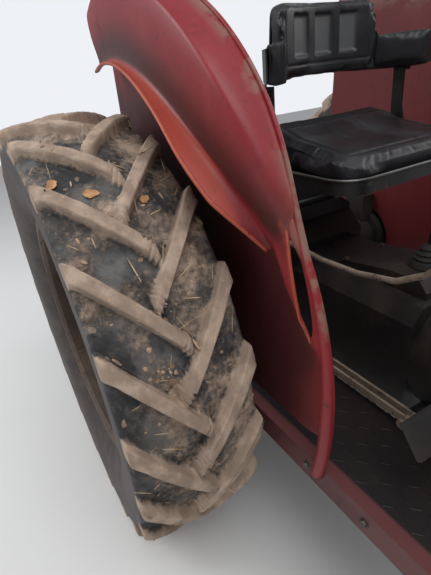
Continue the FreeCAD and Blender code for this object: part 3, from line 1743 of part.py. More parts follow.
for side, sign in SIDES:
    spans = (half, half + 6)
    if sign < 0:
        spans = (-spans[1], -spans[0])
    foot_low = stay_top - 6
    for part_name, inner, high_z in (("tab", None, stay_top), ("lug", SEAT_GAP, BACKREST_LOW + 12)):
        outline = [(x, wing_y(x, SHELL)) for x in stay_x]
        outline += [(x, half if inner is None else wing_y(x, inner)) for x in stay_x[::-1]]
        outline = [(x, sign * y) for x, y in outline]
        stays.append(plate("backrest_%s_%s" % (part_name, side), "xy", outline, foot_low, high_z))
    stays.append(
        plate(
            "backrest_stay_" + side,
            "xz",
            (
                (x0 + 66, S.seat_base + 4),
                (x0 + 130, S.seat_base + 4),
                (stay_x[1], CUSHION_REAR),
                (stay_x[1], stay_top),
                (stay_x[0], stay_top),
                (stay_x[0], CUSHION_REAR),
            ),
            *spans,
        )
    )
pan = cut("seat_tray", pan_floor, pan_inside)
node("seat_frame", fuse("seat_frame", pan, *shell, *stays))

# Controls: gear levers, the lift lever with its quadrant, and the pedals
def rod_through(points, radius):
    """A round rod along straight runs, with a ball at each bend."""
    points = [Vector(*p) for p in points]
    rod = None
    for a, b in zip(points, points[1:]):
        run = Part.makeCylinder(radius, (b - a).Length, a, b - a)
        rod = run if rod is None else rod.fuse(run)
    for p in points[1:-1]:
        rod = rod.fuse(Part.makeSphere(radius, p))
    return rod


ax = float(AXLE_X)
lid_z = float(S.gearbox_top + 44 + S.pin_clearance)
knob = (float(BELL_REAR) - 62, 26, lid_z + 262)
gate = (float(BELL_REAR) - 86, 0, lid_z)
levers = rod_through([(gate[0], 0, lid_z + 9), (gate[0] + 4, 10, lid_z + 110), knob], 8)
levers = levers.fuse(Part.makeSphere(21, Vector(*knob)))
levers = levers.fuse(Part.makeCone(34, 16, 46, Vector(*gate)))
node("gear_lever", shape_of("gear_lever", levers.removeSplitter()))

case_y = -float(S.transmission_half_width - 50 + S.pin_clearance)
pivot_x, pivot_z = ax + 190, 880
quadrant = Part.makeCylinder(84, 6, Vector(pivot_x, case_y - 30, pivot_z), Vector(0, -1, 0))
quadrant = quadrant.cut(Part.makeCylinder(64, 20, Vector(pivot_x, case_y - 20, pivot_z), Vector(0, -1, 0)))
quadrant = quadrant.common(Part.makeBox(200, 40, 120, Vector(pivot_x, case_y - 50, pivot_z - 14)))
foot = Part.makeBox(90, 36, 8, Vector(pivot_x - 8, case_y - 36, pivot_z - 14))
down = Part.makeBox(70, 8, 70, Vector(pivot_x - 8, case_y - 8, pivot_z - 76))
pivot = Part.makeCylinder(13, 54, Vector(pivot_x, case_y, pivot_z), Vector(0, -1, 0))
lever_path = (
    # forward of the axle, height
    (190, 880),
    (460, 866),
    (580, 872),
    (690, 893),
    (760, 934),
    (786, 962),
)
lever = rod_through([(ax + x, case_y - 46 - 0.02 * x, z) for x, z in lever_path], 7)
tip = Vector(ax + lever_path[-1][0], case_y - 46 - 0.02 * lever_path[-1][0], lever_path[-1][1])
quadrant = quadrant.fuse([foot, down, pivot, lever, Part.makeSphere(16, tip)])
node("lift_lever", shape_of("lift_lever", quadrant.removeSplitter()))

pedal_x, pedal_z = float(PEDAL_X), float(PEDAL_Z)
pedal_seat = float(PEDAL_SEAT + S.pin_clearance)


def pedal(hand, y, pad_y):
    """A pedal: an arm from the cross shaft up to a pad above the footboard."""
    path = [
        (pedal_x, hand * y, pedal_z),
        (pedal_x + 62, hand * y, pedal_z + 66),
        (pedal_x + 130, hand * pad_y, pedal_z + 160),
    ]
    arm = rod_through(path, 9)
    pad = Part.makeBox(10, 84, 68, Vector(-5, -42, -34))
    pad.rotate(Vector(), Vector(0, 1, 0), -38)
    pad.translate(Vector(*path[-1]))
    return arm.fuse(pad)


arm_y = pedal_seat + 15
shaft_right = Part.makeCylinder(13, 50, Vector(pedal_x, -pedal_seat, pedal_z), Vector(0, -1, 0))
brakes = shaft_right.fuse([pedal(-1, arm_y, arm_y + 50), pedal(-1, arm_y + 24, arm_y + 150)])
for rod_y in (arm_y - 3, arm_y + 21):
    strip = Part.makeBox(pedal_x - ax - 140, 7, 22, Vector(ax + 140, -rod_y - 7, pedal_z + 4))
    brakes = brakes.fuse(strip)
node("brake_pedals", shape_of("brake_pedals", brakes.removeSplitter()))
shaft_left = Part.makeCylinder(13, 30, Vector(pedal_x, pedal_seat, pedal_z), Vector(0, 1, 0))
clutch = shaft_left.fuse(pedal(1, arm_y, arm_y + 90))
node("clutch_pedal", shape_of("clutch_pedal", clutch.removeSplitter()))

# Hitch: lift arms on a cross shaft, rods down to the lower links, and the drawbar
shaft = cylinder(
    "lift_shaft", "y", 27, (SHAFT_X, -(ARM_PLANE + 16), S.lift_shaft_height), ARM_PLANE * 2 + 32
)
arm_end_x = SHAFT_X - S.lift_arm_length
arm_end_z = S.lift_shaft_height - S.lift_arm_drop
arms = [shaft]
for side, sign in SIDES:
    low_y, high_y = ARM_PLANE - 12, ARM_PLANE + 12
    pin_low, pin_high = ARM_PLANE, S.rod_plane + 16
    if sign < 0:
        low_y, high_y = -high_y, -low_y
        pin_low, pin_high = -pin_high, -pin_low
    arms.append(
        plate(
            "lift_arm_" + side,
            "xz",
            (
                (SHAFT_X + 46, S.lift_shaft_height, 46),
                (SHAFT_X, S.lift_shaft_height + 46),
                (arm_end_x, arm_end_z + 24, 24),
                (arm_end_x - 24, arm_end_z, 24),
                (arm_end_x, arm_end_z - 24),
                (SHAFT_X, S.lift_shaft_height - 46, 46),
            ),
            low_y,
            high_y,
        )
    )
    arms.append(
        cylinder(
            "lift_arm_pin_" + side,
            "y",
            S.hitch_pin_radius,
            (arm_end_x, pin_low, arm_end_z),
            pin_high - pin_low,
        )
    )
node("lift_arms", fuse("lift_arms", *arms))

# The links turn as a parallelogram: the lift rod joins points that stand alike to their pivots
rod_foot_x = PIVOT_X - S.lift_arm_length
rod_foot_z = S.link_pivot_height - S.lift_arm_drop
link_end_x = PIVOT_X - S.link_length
link_end_z = S.link_pivot_height - S.lift_arm_drop * 1.4
for side, sign in SIDES:
    plane = S.rod_plane
    head = Vector(float(arm_end_x), sign * float(plane), float(arm_end_z))
    heel = Vector(float(rod_foot_x), sign * float(plane), float(rod_foot_z))
    run = heel - head
    along = Vector(run).normalize()
    rod = Part.makeCylinder(10, run.Length - 36, head + along * 18, run)
    rod = rod.fuse(Part.makeCylinder(17, run.Length * 0.5, head + run * 0.28, run))
    bore = float(S.hitch_pin_radius + S.pin_clearance)
    for end in (head, heel):
        eye = Part.makeCylinder(25, 20, end - Vector(0, 10, 0), Vector(0, 1, 0))
        rod = rod.fuse(eye)
    for end in (head, heel):
        rod = rod.cut(Part.makeCylinder(bore, 40, end - Vector(0, 20, 0), Vector(0, 1, 0)))
    node("lift_rod_" + side, shape_of("lift_rod_" + side, rod))
    plane = S.link_plane
    low_y = plane - 12 if sign > 0 else -plane - 12
    high_y = low_y + 24
    bar = plate(
        "link_bar_" + side,
        "xz",
        (
            (PIVOT_X, S.link_pivot_height + 28, 28),
            (PIVOT_X - 28, S.link_pivot_height, 28),
            (PIVOT_X, S.link_pivot_height - 28, 28),
            (PIVOT_X + 28, S.link_pivot_height, 28),
        ),
        low_y,
        high_y,
    )
    web = plate(
        "link_web_" + side,
        "xz",
        (
            (PIVOT_X, S.link_pivot_height + 24),
            (link_end_x, link_end_z + 22),
            (link_end_x, link_end_z - 22),
            (PIVOT_X, S.link_pivot_height - 24),
        ),
        low_y,
        high_y,
    )
    ball = cylinder(
        "link_ball_" + side, "y", S.link_ball_radius + 14, (link_end_x, low_y - 5.5, link_end_z), 35
    )
    pin_low = plane - 42 if sign > 0 else -plane
    foot_pin = cylinder(
        "link_foot_pin_" + side, "y", S.hitch_pin_radius, (rod_foot_x, pin_low, rod_foot_z), 42
    )
    body = fuse("lower_link_body_" + side, bar, web, ball, foot_pin)
    holes = [
        cylinder(
            "link_pivot_bore_" + side,
            "y",
            S.hitch_pin_radius + S.pin_clearance,
            (PIVOT_X, low_y - 1, S.link_pivot_height),
            26,
        ),
        cylinder(
            "link_ball_bore_" + side, "y", S.link_ball_radius, (link_end_x, low_y - 7, link_end_z), 38
        ),
    ]
    node("lower_link_" + side, cut("lower_link_" + side, body, *holes))

bar_x = AXLE_X - S.drawbar_length
bar_z = S.transmission_bottom - 60
tongue = plate(
    "drawbar_tongue",
    "xy",
    (
        (bar_x, -34, -34),
        (bar_x - 34, 0, -34),
        (bar_x, 34),
        (AXLE_X + 120, 34),
        (AXLE_X + 120, -34),
    ),
    bar_z,
    bar_z + 28,
)
hanger = box("drawbar_hanger", (back + 60, back + 90), (-60, 60), (bar_z + 27, S.transmission_bottom))
anchor = box("drawbar_anchor", (AXLE_X + 70, AXLE_X + 120), (-50, 50), (bar_z + 27, S.transmission_bottom))
hitch_hole = cylinder("drawbar_hole", "z", S.drawbar_hole_radius, (bar_x, 0, bar_z - 1), 30)
node("drawbar", cut("drawbar", fuse("drawbar_body", tongue, hanger, anchor), hitch_hole))

doc.recompute()

# Every object must have been worked out, and every sub-part must be a sound solid
for thing in doc.Objects:
    for state in thing.State:
        if state in ("Invalid", "Error"):
            raise RuntimeError("%s could not be worked out" % thing.Name)
for node_name, thing in NODES.items():
    shape = thing.Shape
    if shape.isNull() or not shape.isValid() or not shape.Solids:
        raise RuntimeError("%s is not a sound solid" % node_name)

os.makedirs("parts", exist_ok=True)
for node_name, thing in NODES.items():
    thing.Shape.exportStep("parts/%s.step" % node_name)
print("%d nodes" % len(NODES))
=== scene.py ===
import math

import bmesh
import bpy
import numpy as np
from mathutils import Matrix, Vector


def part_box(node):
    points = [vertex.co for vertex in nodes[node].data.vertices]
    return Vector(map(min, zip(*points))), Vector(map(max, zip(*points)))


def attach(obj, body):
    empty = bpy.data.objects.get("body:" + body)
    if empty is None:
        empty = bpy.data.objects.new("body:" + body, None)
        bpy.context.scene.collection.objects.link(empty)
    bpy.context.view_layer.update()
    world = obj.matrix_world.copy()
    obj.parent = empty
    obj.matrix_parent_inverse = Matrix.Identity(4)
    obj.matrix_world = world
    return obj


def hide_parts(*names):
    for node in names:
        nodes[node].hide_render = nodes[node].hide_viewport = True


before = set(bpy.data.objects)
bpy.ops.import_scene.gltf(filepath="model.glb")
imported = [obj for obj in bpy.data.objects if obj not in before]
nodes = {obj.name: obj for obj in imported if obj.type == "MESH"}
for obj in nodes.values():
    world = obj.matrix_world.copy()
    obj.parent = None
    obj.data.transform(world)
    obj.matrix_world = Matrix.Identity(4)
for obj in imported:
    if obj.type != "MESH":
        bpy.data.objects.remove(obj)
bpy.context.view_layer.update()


# The place it stands in: a plain pale floor, soft light from large panels overhead and at the
# side, and a camera held beside the right front corner of the seat, looking back and down at
# the rear tyre and its mudguard.
FLOOR_HALF = 9.0
FLOOR_GREY = (0.80, 0.80, 0.79)
CAMERA_AT = Vector((0.5331, -0.9286, 1.3452))
CAMERA_YAW, CAMERA_PITCH, CAMERA_ROLL = (math.radians(a) for a in (27.5, 27.5, -6.4))
PHOTO_LONG_SIDE = 575
FOCAL_PIXELS = 428.5


class Shading:
    """A node tree, with a short method for each step that the materials share.

    Each takes numbers, colours or other nodes' sockets, and gives back a socket.
    """

    def __init__(self, tree):
        self.tree = tree

    def put(self, socket, value):
        """Sets a socket to a value, which may be another node's socket."""
        if isinstance(value, bpy.types.NodeSocket):
            self.tree.links.new(value, socket)
        elif isinstance(value, tuple) and len(socket.default_value) > len(value):
            socket.default_value = (*value, 1.0)
        else:
            socket.default_value = value

    def node(self, kind, inputs=None, out=0, **settings):
        """Adds a shader node; inputs maps its sockets' names or numbers to values."""
        made = self.tree.nodes.new("ShaderNode" + kind)
        for key, value in settings.items():
            setattr(made, key, value)
        for key, value in (inputs or {}).items():
            self.put(made.inputs[key], value)
        return made.outputs[out]

    def spot(self):
        return self.node("TexCoord", out="Object")

    def noise(self, spot, scale, detail=6.0, rough=0.6):
        return self.node("TexNoise", {"Vector": spot, "Scale": scale, "Detail": detail, "Roughness": rough})

    def spread(self, value, low, high):
        """What runs from 0 to 1, made to run from low to high."""
        return self.node("MapRange", {"Value": value, "To Min": low, "To Max": high})

    def step(self, value, low, high):
        """0 below low, 1 above high, smooth between."""
        reach = {"Value": value, "From Min": low, "From Max": high}
        return self.node("MapRange", reach, interpolation_type="SMOOTHSTEP")

    def maths(self, operation, a, b=0.0):
        return self.node("Math", {0: a, 1: b}, operation=operation)

    def plus(self, a, b, share=1.0):
        """a and a share of b."""
        return self.maths("ADD", a, b if share == 1.0 else self.times(b, share))

    def times(self, a, b):
        return self.maths("MULTIPLY", a, b)

    def blend(self, mask, below, above):
        """The colour below, with the colour above laid over it where the mask is 1."""
        return self.node("Mix", {0: mask, 6: below, 7: above}, 2, data_type="RGBA")

    def stored(self, label):
        """A number that the mesh holds for each point."""
        return self.node("Attribute", out="Fac", attribute_name=label)

    def group(self, tree, inputs):
        """The outputs of an effect, placed with its own values."""
        return self.node("Group", inputs, node_tree=tree).node.outputs

    def skin(self, colour, rough, bump=None, plain=()):
        """Feeds the material's shader; bump is (height, strength, distance), plain its fixed values."""
        fed = {"Base Color": colour, "Roughness": rough, **dict(plain)}
        if bump:
            fed["Normal"] = self.node("Bump", dict(zip(("Height", "Strength", "Distance"), bump)))
        for label, value in fed.items():
            self.put(self.tree.nodes["Principled BSDF"].inputs[label], value)


def finish(name):
    """A new material and its shading."""
    made = bpy.data.materials.new(name)
    made.use_nodes = True
    return made, Shading(made.node_tree)


def added(name, data):
    """A new object in the scene."""
    made = bpy.data.objects.new(name, data)
    bpy.context.scene.collection.objects.link(made)
    return made


def mesh_from(name, points, faces, material, body=None, slot=None, replaces=None, smooth=True, split=None):
    """A piece from its points and its faces' corners. Its slot argument is not used.

    It rides on a body, takes its finish from its material and may stand for a CAD node. Edges sharper
    than split, in degrees, are shaded as edges.
    """
    mesh = bpy.data.meshes.new(name)
    faces = faces if isinstance(faces, list) else faces.tolist()
    mesh.from_pydata(np.reshape(points, (-1, 3)).tolist(), [], faces)
    mesh.update()
    mesh.polygons.foreach_set("use_smooth", np.full(len(mesh.polygons), smooth))
    mesh.materials.append(material)
    piece = added(name, mesh)
    if body:
        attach(piece, body)
    if replaces:
        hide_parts(replaces)
    if split:
        piece.modifiers.new("sharp edges", "EDGE_SPLIT").split_angle = math.radians(split)
    return piece


floor_pale, t = finish("pale floor")
cloud = t.spread(t.noise(t.spot(), 1.3, 4.0, 0.5), 0.94, 1.0)
t.skin(t.node("VectorMath", {0: FLOOR_GREY, "Scale": cloud}, operation="SCALE"), 0.65)
floor_corners = [(x * FLOOR_HALF, y * FLOOR_HALF, 0) for x, y in ((-1, -1), (1, -1), (1, 1), (-1, 1))]
mesh_from("floor", floor_corners, [(0, 1, 2, 3)], floor_pale)

world = bpy.data.worlds.new("soft room")
bpy.context.scene.world = world
world.use_nodes = True
sky = Shading(world.node_tree)
backdrop = world.node_tree.nodes["Background"].inputs
sky.put(backdrop["Color"], (0.93, 0.95, 1.0))
sky.put(backdrop["Strength"], sky.spread(sky.node("LightPath", out="Is Camera Ray"), 0.40, 0.92))

# name, place, aimed at, side of the square panel, watts
LIGHTS = (
    ("window_panel", (-2.6, -3.4, 3.4), (-0.4, -0.4, 0.8), 2.4, 92),
    ("overhead_panel", (1.6, -0.6, 4.0), (0.0, 0.0, 0.6), 2.6, 84),
    ("far_panel", (0.6, 4.2, 2.8), (0.0, 0.0, 0.8), 2.4, 62),
)
for name, place, target, side, watts in LIGHTS:
    lamp = bpy.data.lights.new(name, "AREA")
    lamp.shape = "SQUARE"
    lamp.size = side
    lamp.energy = watts
    holder = added(name, lamp)
    holder.location = place
    holder.rotation_mode = "QUATERNION"
    holder.rotation_quaternion = (Vector(target) - Vector(place)).to_track_quat("-Z", "Y")

gaze = Vector((
    -math.cos(CAMERA_YAW) * math.cos(CAMERA_PITCH),
    math.sin(CAMERA_YAW) * math.cos(CAMERA_PITCH),
    -math.sin(CAMERA_PITCH),
))
level_right = gaze.cross(Vector((0, 0, 1))).normalized()
level_up = level_right.cross(gaze)
right = level_right * math.cos(CAMERA_ROLL) + level_up * math.sin(CAMERA_ROLL)
up = level_up * math.cos(CAMERA_ROLL) - level_right * math.sin(CAMERA_ROLL)
camera_data = bpy.data.cameras.new("camera")
camera_data.lens = FOCAL_PIXELS / PHOTO_LONG_SIDE * camera_data.sensor_width
camera_data.clip_start = 0.02
camera = added("camera", camera_data)
camera.rotation_mode = "QUATERNION"
camera.rotation_quaternion = Matrix((right, up, -gaze)).transposed().to_quaternion()
camera.location = CAMERA_AT
bpy.context.scene.camera = camera
bpy.context.scene.view_settings.view_transform = "Standard"


# Rear tyres: black rubber with two staggered rows of slanting lugs, caked with dry tan mud,
# chaff and leaf scraps. The carcass is one closed skin and the lugs rise out of it, each from
# just past the middle of the tread out over the shoulder.
SIDES = (("right", -1), ("left", 1))
LUG_COUNT = 20
LUG_PITCH = 2 * math.pi / LUG_COUNT
LUG_PHASE = math.radians(59.5)
LUG_HALF_TOP = math.radians(1.75)
LUG_FLANK = math.radians(0.85)
LUG_PAST_MIDDLE = 0.022
LUG_END = 0.196
LUG_SWEEP_PER_METRE = 2.02
SHOULDER_SWEEP_PER_METRE = 0.55
SHOULDER_RUN = 0.15
TREAD_HALF = 0.142
TREAD_CROWN = 0.602
TREAD_FALL = 0.016
TYRE_HALF = 0.158
TYRE_RADIUS = 0.6349
REAR_BEAD, REAR_SEAT = 0.106, 0.358


def place(x, y, z):
    """Points from their three coordinates, any of which may be one number for all."""
    return np.stack(np.broadcast_arrays(x, y, z), -1)


def soft_step(x):
    """3x^2 - 2x^3 with x held between 0 and 1: rises from 0 to 1 with level ends."""
    x = np.clip(x, 0.0, 1.0)
    return x * x * (3.0 - 2.0 * x)


def sine_noise(points, scale, seed, octaves=3):
    """The mean of sines along seeded random directions, each octave twice as fine: about -1 to 1."""
    random = np.random.default_rng(seed)
    total = np.zeros(points.shape[:-1])
    weight = 0.0
    for octave in range(octaves):
        for _ in range(5):
            direction = random.normal(size=3)
            direction *= scale * 2**octave / np.linalg.norm(direction)
            total += np.sin(points @ direction + random.uniform(0, 6.28)) / 2**octave
        weight += 5**0.5 / 2**octave
    return total / weight


def bezier(corners, count):
    """Points of the cubic through the first and last corner, pulled towards the middle two.

    The first corner is left out.
    """
    t = np.linspace(0, 1, count + 1)[1:, None]
    a, b, c, d = (np.array(p, float) for p in corners)
    return a * (1 - t) ** 3 + 3 * b * t * (1 - t) ** 2 + 3 * c * t**2 * (1 - t) + d * t**3


def grid_faces(rows, columns, wrap_rows=True, wrap_columns=True):
    """Face corners of a grid of points stored row by row, closed round each way unless told not to."""
    r = np.arange(rows if wrap_rows else rows - 1)
    c = np.arange(columns if wrap_columns else columns - 1)
    r, c = (a.ravel() for a in np.meshgrid(r, c, indexing="ij"))
    r2, c2 = (r + 1) % rows, (c + 1) % columns
    return np.stack([r * columns + c, r2 * columns + c, r2 * columns + c2, r * columns + c2], -1)


def tyre_section():
    """(across, radius) down one half of the section, middle of the tread first, bead last."""
    across = np.linspace(0, TREAD_HALF, 22)
    tread = np.stack([across, TREAD_CROWN - TREAD_FALL * (across / TREAD_HALF) ** 2], -1)
    shoulder = bezier((tread[-1], (TYRE_HALF, 0.580), (0.161, 0.570), (TYRE_HALF, 0.545)), 9)
    wall = ((TYRE_HALF, 0.545), (0.1555, 0.500), (TYRE_HALF, 0.430), (REAR_BEAD, REAR_SEAT + 0.030))
    return np.concatenate([tread, shoulder, bezier(wall, 12), [(REAR_BEAD, REAR_SEAT + 0.004)]])


half_section = tyre_section()
half_run = np.concatenate([[0.0], np.cumsum(np.linalg.norm(np.diff(half_section, axis=0), axis=1))])
section_way = np.gradient(half_section, half_run, axis=0)


def lug_sweep(along, most):
    """The angle by which a lug's line has turned, along the section from the middle to its end."""
    past = np.clip(along - SHOULDER_RUN, 0, most)
    return LUG_SWEEP_PER_METRE * np.minimum(along, SHOULDER_RUN) + SHOULDER_SWEEP_PER_METRE * past


def lug_rise(turn, along, phase):
    """How far a lug stands at a place: 1 on its top, 0 in the gaps, a soft step on its flanks.

    along is the distance over the section towards the row's own side.
    """
    off = np.abs((turn - phase - lug_sweep(along, 1) + LUG_PITCH / 2) % LUG_PITCH - LUG_PITCH / 2)
    widen = 1.0 + 1.1 * np.clip(along, 0, 0.2)
    flank = soft_step((LUG_HALF_TOP * widen + LUG_FLANK - off) / LUG_FLANK)
    inner = soft_step((along + LUG_PAST_MIDDLE + 0.006) / 0.010)
    outer = soft_step((LUG_END - along) / 0.040)
    return flank * inner * outer


def rear_tread(turn, run, hand):
    """Points of the rear tyre's skin before it is moved to its axle, and how far each is on a lug.

    run is the signed distance over the section from the middle of the tread. A point is the
    section's own point, pushed out along the section's normal by the height of the lug there and
    by a few millimetres of caked mud, and turned about the axle by the angle turn.
    """
    along = np.abs(run)
    across, radius, way_across, way_out = (
        np.interp(along, half_run, column) for column in (*half_section.T, *section_way.T)
    )
    near_row = lug_rise(turn, hand * run, LUG_PHASE)
    rise = np.maximum(near_row, lug_rise(turn, -hand * run, LUG_PHASE + LUG_PITCH / 2))
    spot = place(radius * np.cos(turn), across * np.sign(run), radius * np.sin(turn))
    clods = sine_noise(spot, 60.0, 3) * 0.5 + sine_noise(spot, 210.0, 4) * 0.5
    height = rise * (0.0325 - 0.05 * np.clip(along - 0.11, 0, 1))
    mud = 0.0022 * clods + 0.006 * soft_step(clods * 1.5 - 0.4) * (1 - rise)
    push = height + mud * soft_step((0.20 - along) / 0.03)
    across = np.minimum(across + push * np.maximum(-way_out, 0) * 0.6, TYRE_HALF - 0.0008) * np.sign(run)
    radius = np.minimum(radius + push * np.maximum(way_across, 0.45), TYRE_RADIUS)
    return place(radius * np.cos(turn), across, radius * np.sin(turn)), rise


def rear_axle(side):
    """The middle of a rear wheel."""
    rim, tyre = (np.mean(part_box(name + side), axis=0) for name in ("rear_rim_", "rear_tyre_"))
    return np.array((rim[0], tyre[1], rim[2]))


def put_on(piece, label, values):
    """Stores one number for each point of a mesh, for its material to read."""
    made = piece.data.attributes.new(label, "FLOAT", "POINT")
    made.data.foreach_set("value", np.ascontiguousarray(values, dtype=np.float32).ravel())


def rear_tyre(side, hand, material):
    """The whole tyre on a grid: turns round the wheel by runs over the section, bead to bead.

    The turns shear with the lugs, so that their edges fall on grid lines. Half a pitch on, they
    do the same for the other row.
    """
    ahead = np.array([0.0, 0.7, 1.4, 1.75, 2.05, 2.3, 2.6, 2.9, 3.3, 3.9])
    one_row = np.concatenate([[-4.45], -ahead[:0:-1], ahead])
    offsets = np.radians(np.concatenate([one_row, one_row + 9.0]))
    turns = (LUG_PHASE + LUG_PITCH * np.arange(LUG_COUNT)[:, None] + offsets).ravel()
    runs = np.concatenate([-half_run[:0:-1], half_run])
    turn = turns[:, None] + lug_sweep(np.abs(runs), 0.06)
    points, rise = rear_tread(turn, np.broadcast_to(runs, turn.shape), hand)
    inner_radius = REAR_SEAT - 0.002
    inner = place(np.cos(turn) * inner_radius, points[..., 1] * 0.98, np.sin(turn) * inner_radius)
    points = np.concatenate([points, inner[:, -1:], inner[:, :1]], axis=1) + rear_axle(side)
    rows, columns = points.shape[:2]
    piece = mesh_from(
        "tread_rear_" + side, points, grid_faces(rows, columns), material, "rear_wheel_" + side,
        "tread_rubber", "rear_tyre_" + side,
    )
    put_on(piece, "lug", np.concatenate([rise, np.zeros((rows, 2))], axis=1))
    towards_guard = 1 + 0.24 * soft_step((-hand * runs - 0.005) / 0.06)
    reach = np.concatenate([soft_step((0.19 - np.abs(runs)) / 0.03) * towards_guard, [0, 0]])
    put_on(piece, "tread", np.broadcast_to(reach, (rows, columns)))


def effect(name, inputs):
    """A shader node group that gives Colour, Mask and Height; inputs maps its inputs to values.

    Gives its shading, its inputs and a place on the tractor times its input Scale.
    """
    tree = bpy.data.node_groups.new(name, "ShaderNodeTree")
    for label, value in {**inputs, "Scale": 1.0}.items():
        kind, value = ("Color", (*value, 1.0)) if isinstance(value, tuple) else ("Float", value)
        socket = tree.interface.new_socket(label, in_out="INPUT", socket_type="NodeSocket" + kind)
        socket.default_value = value
    for label, kind in (("Colour", "Color"), ("Mask", "Float"), ("Height", "Float")):
        tree.interface.new_socket(label, in_out="OUTPUT", socket_type="NodeSocket" + kind)
    t = Shading(tree)
    given = tree.nodes.new("NodeGroupInput").outputs
    return t, given, t.node("VectorMath", {0: t.spot(), "Scale": given["Scale"]}, operation="SCALE")


def close(t, *values):
    """Gives an effect its colour, mask and height."""
    outputs = t.tree.nodes.new("NodeGroupOutput").inputs
    for label, value in zip(("Colour", "Mask", "Height"), values):
        t.put(outputs[label], value)


# Caked field dirt: tan mud that sticks where a mask lets it, broken into patches, in two tans.
MUD_TANS = {"Dry mud": (0.315, 0.232, 0.175), "Pale mud": (0.490, 0.372, 0.285)}
t, given, spot = effect("caked_mud", {"Under": (0.03, 0.03, 0.03), "Cover": 0.5, **MUD_TANS})
crumb = t.noise(spot, 90.0, 6.0, 0.7)
level = t.plus(t.plus(t.noise(spot, 9.0, 7.0, 0.62), crumb, 0.45), given["Cover"])
mask = t.step(level, 1.08, 1.30)
two_tans = t.blend(t.step(t.noise(spot, 22.0), 0.38, 0.66), given["Dry mud"], given["Pale mud"])
close(t, t.blend(mask, given["Under"], two_tans), mask, t.times(mask, t.plus(crumb, 0.6)))
mud_tree = t.tree

rubber, t = finish("muddy tread rubber")
dust = t.step(t.noise(t.spot(), 11.0, 7.0, 0.66), 0.40, 0.66)
on_tread = t.stored("tread")
wall_brown = t.blend(dust, (0.036, 0.027, 0.024), (0.072, 0.054, 0.047))
base = t.blend(on_tread, wall_brown, t.blend(dust, (0.021, 0.021, 0.022), (0.125, 0.118, 0.113)))
cover = t.plus(t.times(t.stored("lug"), 0.46), on_tread, 0.39)
mud = t.group(mud_tree, {"Under": base, "Cover": cover})
t.skin(mud["Colour"], t.spread(mud["Mask"], 0.62, 0.95), (mud["Height"], 0.7, 0.004))

for side, hand in SIDES:
    rear_tyre(side, hand, rubber)


# What lies on the rear tyres: straw, chips of wood, crumbs of mud and leaf scraps. Each kind is one
# mesh a tyre, strewn by a seeded rule, and lies on the skin under it.
TREAD_REACH = 0.15
# turn and run of the leaves and the chips that lie where the right tyre shows them, and their size
LEAVES = np.array([
    (1.0664, -0.1130, 0.013), (0.9763, -0.0477, 0.014), (0.9000, 0.0500, 0.010), (3.10, -0.060, 0.014),
    (3.90, 0.080, 0.012), (5.20, -0.020, 0.013),
])
CHIP_HEAPS = np.array([(0.3205, -0.0527), (0.2891, -0.0326), (0.50, -0.02), (2.4, 0.03), (4.4, -0.06)])


def ring_faces(items, stations, corners):
    """Faces of items * stations rings of an even number of corners, each item closed at both ends.

    The sides join each ring to the next, and an end is filled with quads from edge to edge.
    """
    k = np.arange(corners)
    s = np.arange(stations - 1)[:, None]
    sides = np.stack([s * corners + k, s * corners + (k + 1) % corners], -1)
    sides = np.concatenate([sides, sides[..., ::-1] + corners], -1).reshape(-1, 4)
    i = np.arange(corners // 2 - 1)
    cap = np.stack([i + 1, i, corners - 1 - i, corners - 2 - i], -1)
    one = np.concatenate([sides, cap, cap[:, ::-1] + (stations - 1) * corners])
    return (np.arange(items)[:, None, None] * stations * corners + one).reshape(-1, 4)


def ringed(name, rings, material, slot, body="chassis", **more):
    """A piece built of rings of corners: rings is (stations, corners, 3), or that for each item."""
    *items, stations, corners, _ = np.shape(rings)
    faces = ring_faces(math.prod(items), stations, corners)
    return mesh_from(name, rings, faces, material, body, slot, **more)


def unit(vectors):
    return vectors / np.linalg.norm(vectors, axis=-1, keepdims=True)


def straws(hand, seed, count, long, wide, thick):
    """Stiff slivers on the tread: straight from end to end, lifted clear of the highest skin below.

    A ring of four corners stands at each of five stations, narrower towards both ends.
    """
    random = np.random.default_rng(seed)
    turn = random.uniform(0, 2 * math.pi, (count, 1))
    run = random.uniform(-TREAD_REACH, TREAD_REACH, (count, 1))
    heading = random.uniform(0, math.pi, (count, 1))
    length = random.uniform(*long, (count, 1)) * np.linspace(-0.5, 0.5, 5)
    width = random.uniform(*wide, (count, 1)) * np.array([0.35, 0.9, 1.0, 0.85, 0.3])
    skin, _ = rear_tread(turn + length * np.cos(heading) / TREAD_CROWN, run + length * np.sin(heading), hand)
    share = np.linspace(0, 1, 5)[:, None]
    spine = skin[:, :1] * (1 - share) + skin[:, -1:] * share
    out = unit(spine * np.array([1.0, 0.35, 1.0]))
    lift = np.max(np.sum((skin - spine) * out, -1), axis=1)[:, None, None]
    spine = spine + out * (np.minimum(lift, 0.012) + thick * 0.5)
    side = unit(np.cross(unit(spine[:, -1:] - spine[:, :1]), out)) * width[..., None] / 2
    rise = out * thick / 2
    return np.stack([spine - side - rise, spine + side - rise, spine + side + rise, spine - side + rise], 2)


def lying(hand, places, seed):
    """The seeded numbers and, at each place of turn and run, the skin's point, out and two ways across."""
    random = np.random.default_rng(seed)
    skin, _ = rear_tread(places[:, 0], places[:, 1], hand)
    out = unit(skin * np.array([1.0, 0.5, 1.0]))
    way = unit(np.cross(out, random.normal(size=out.shape)))
    return random, *(v[:, None, None] for v in (skin, out, way, np.cross(out, way)))


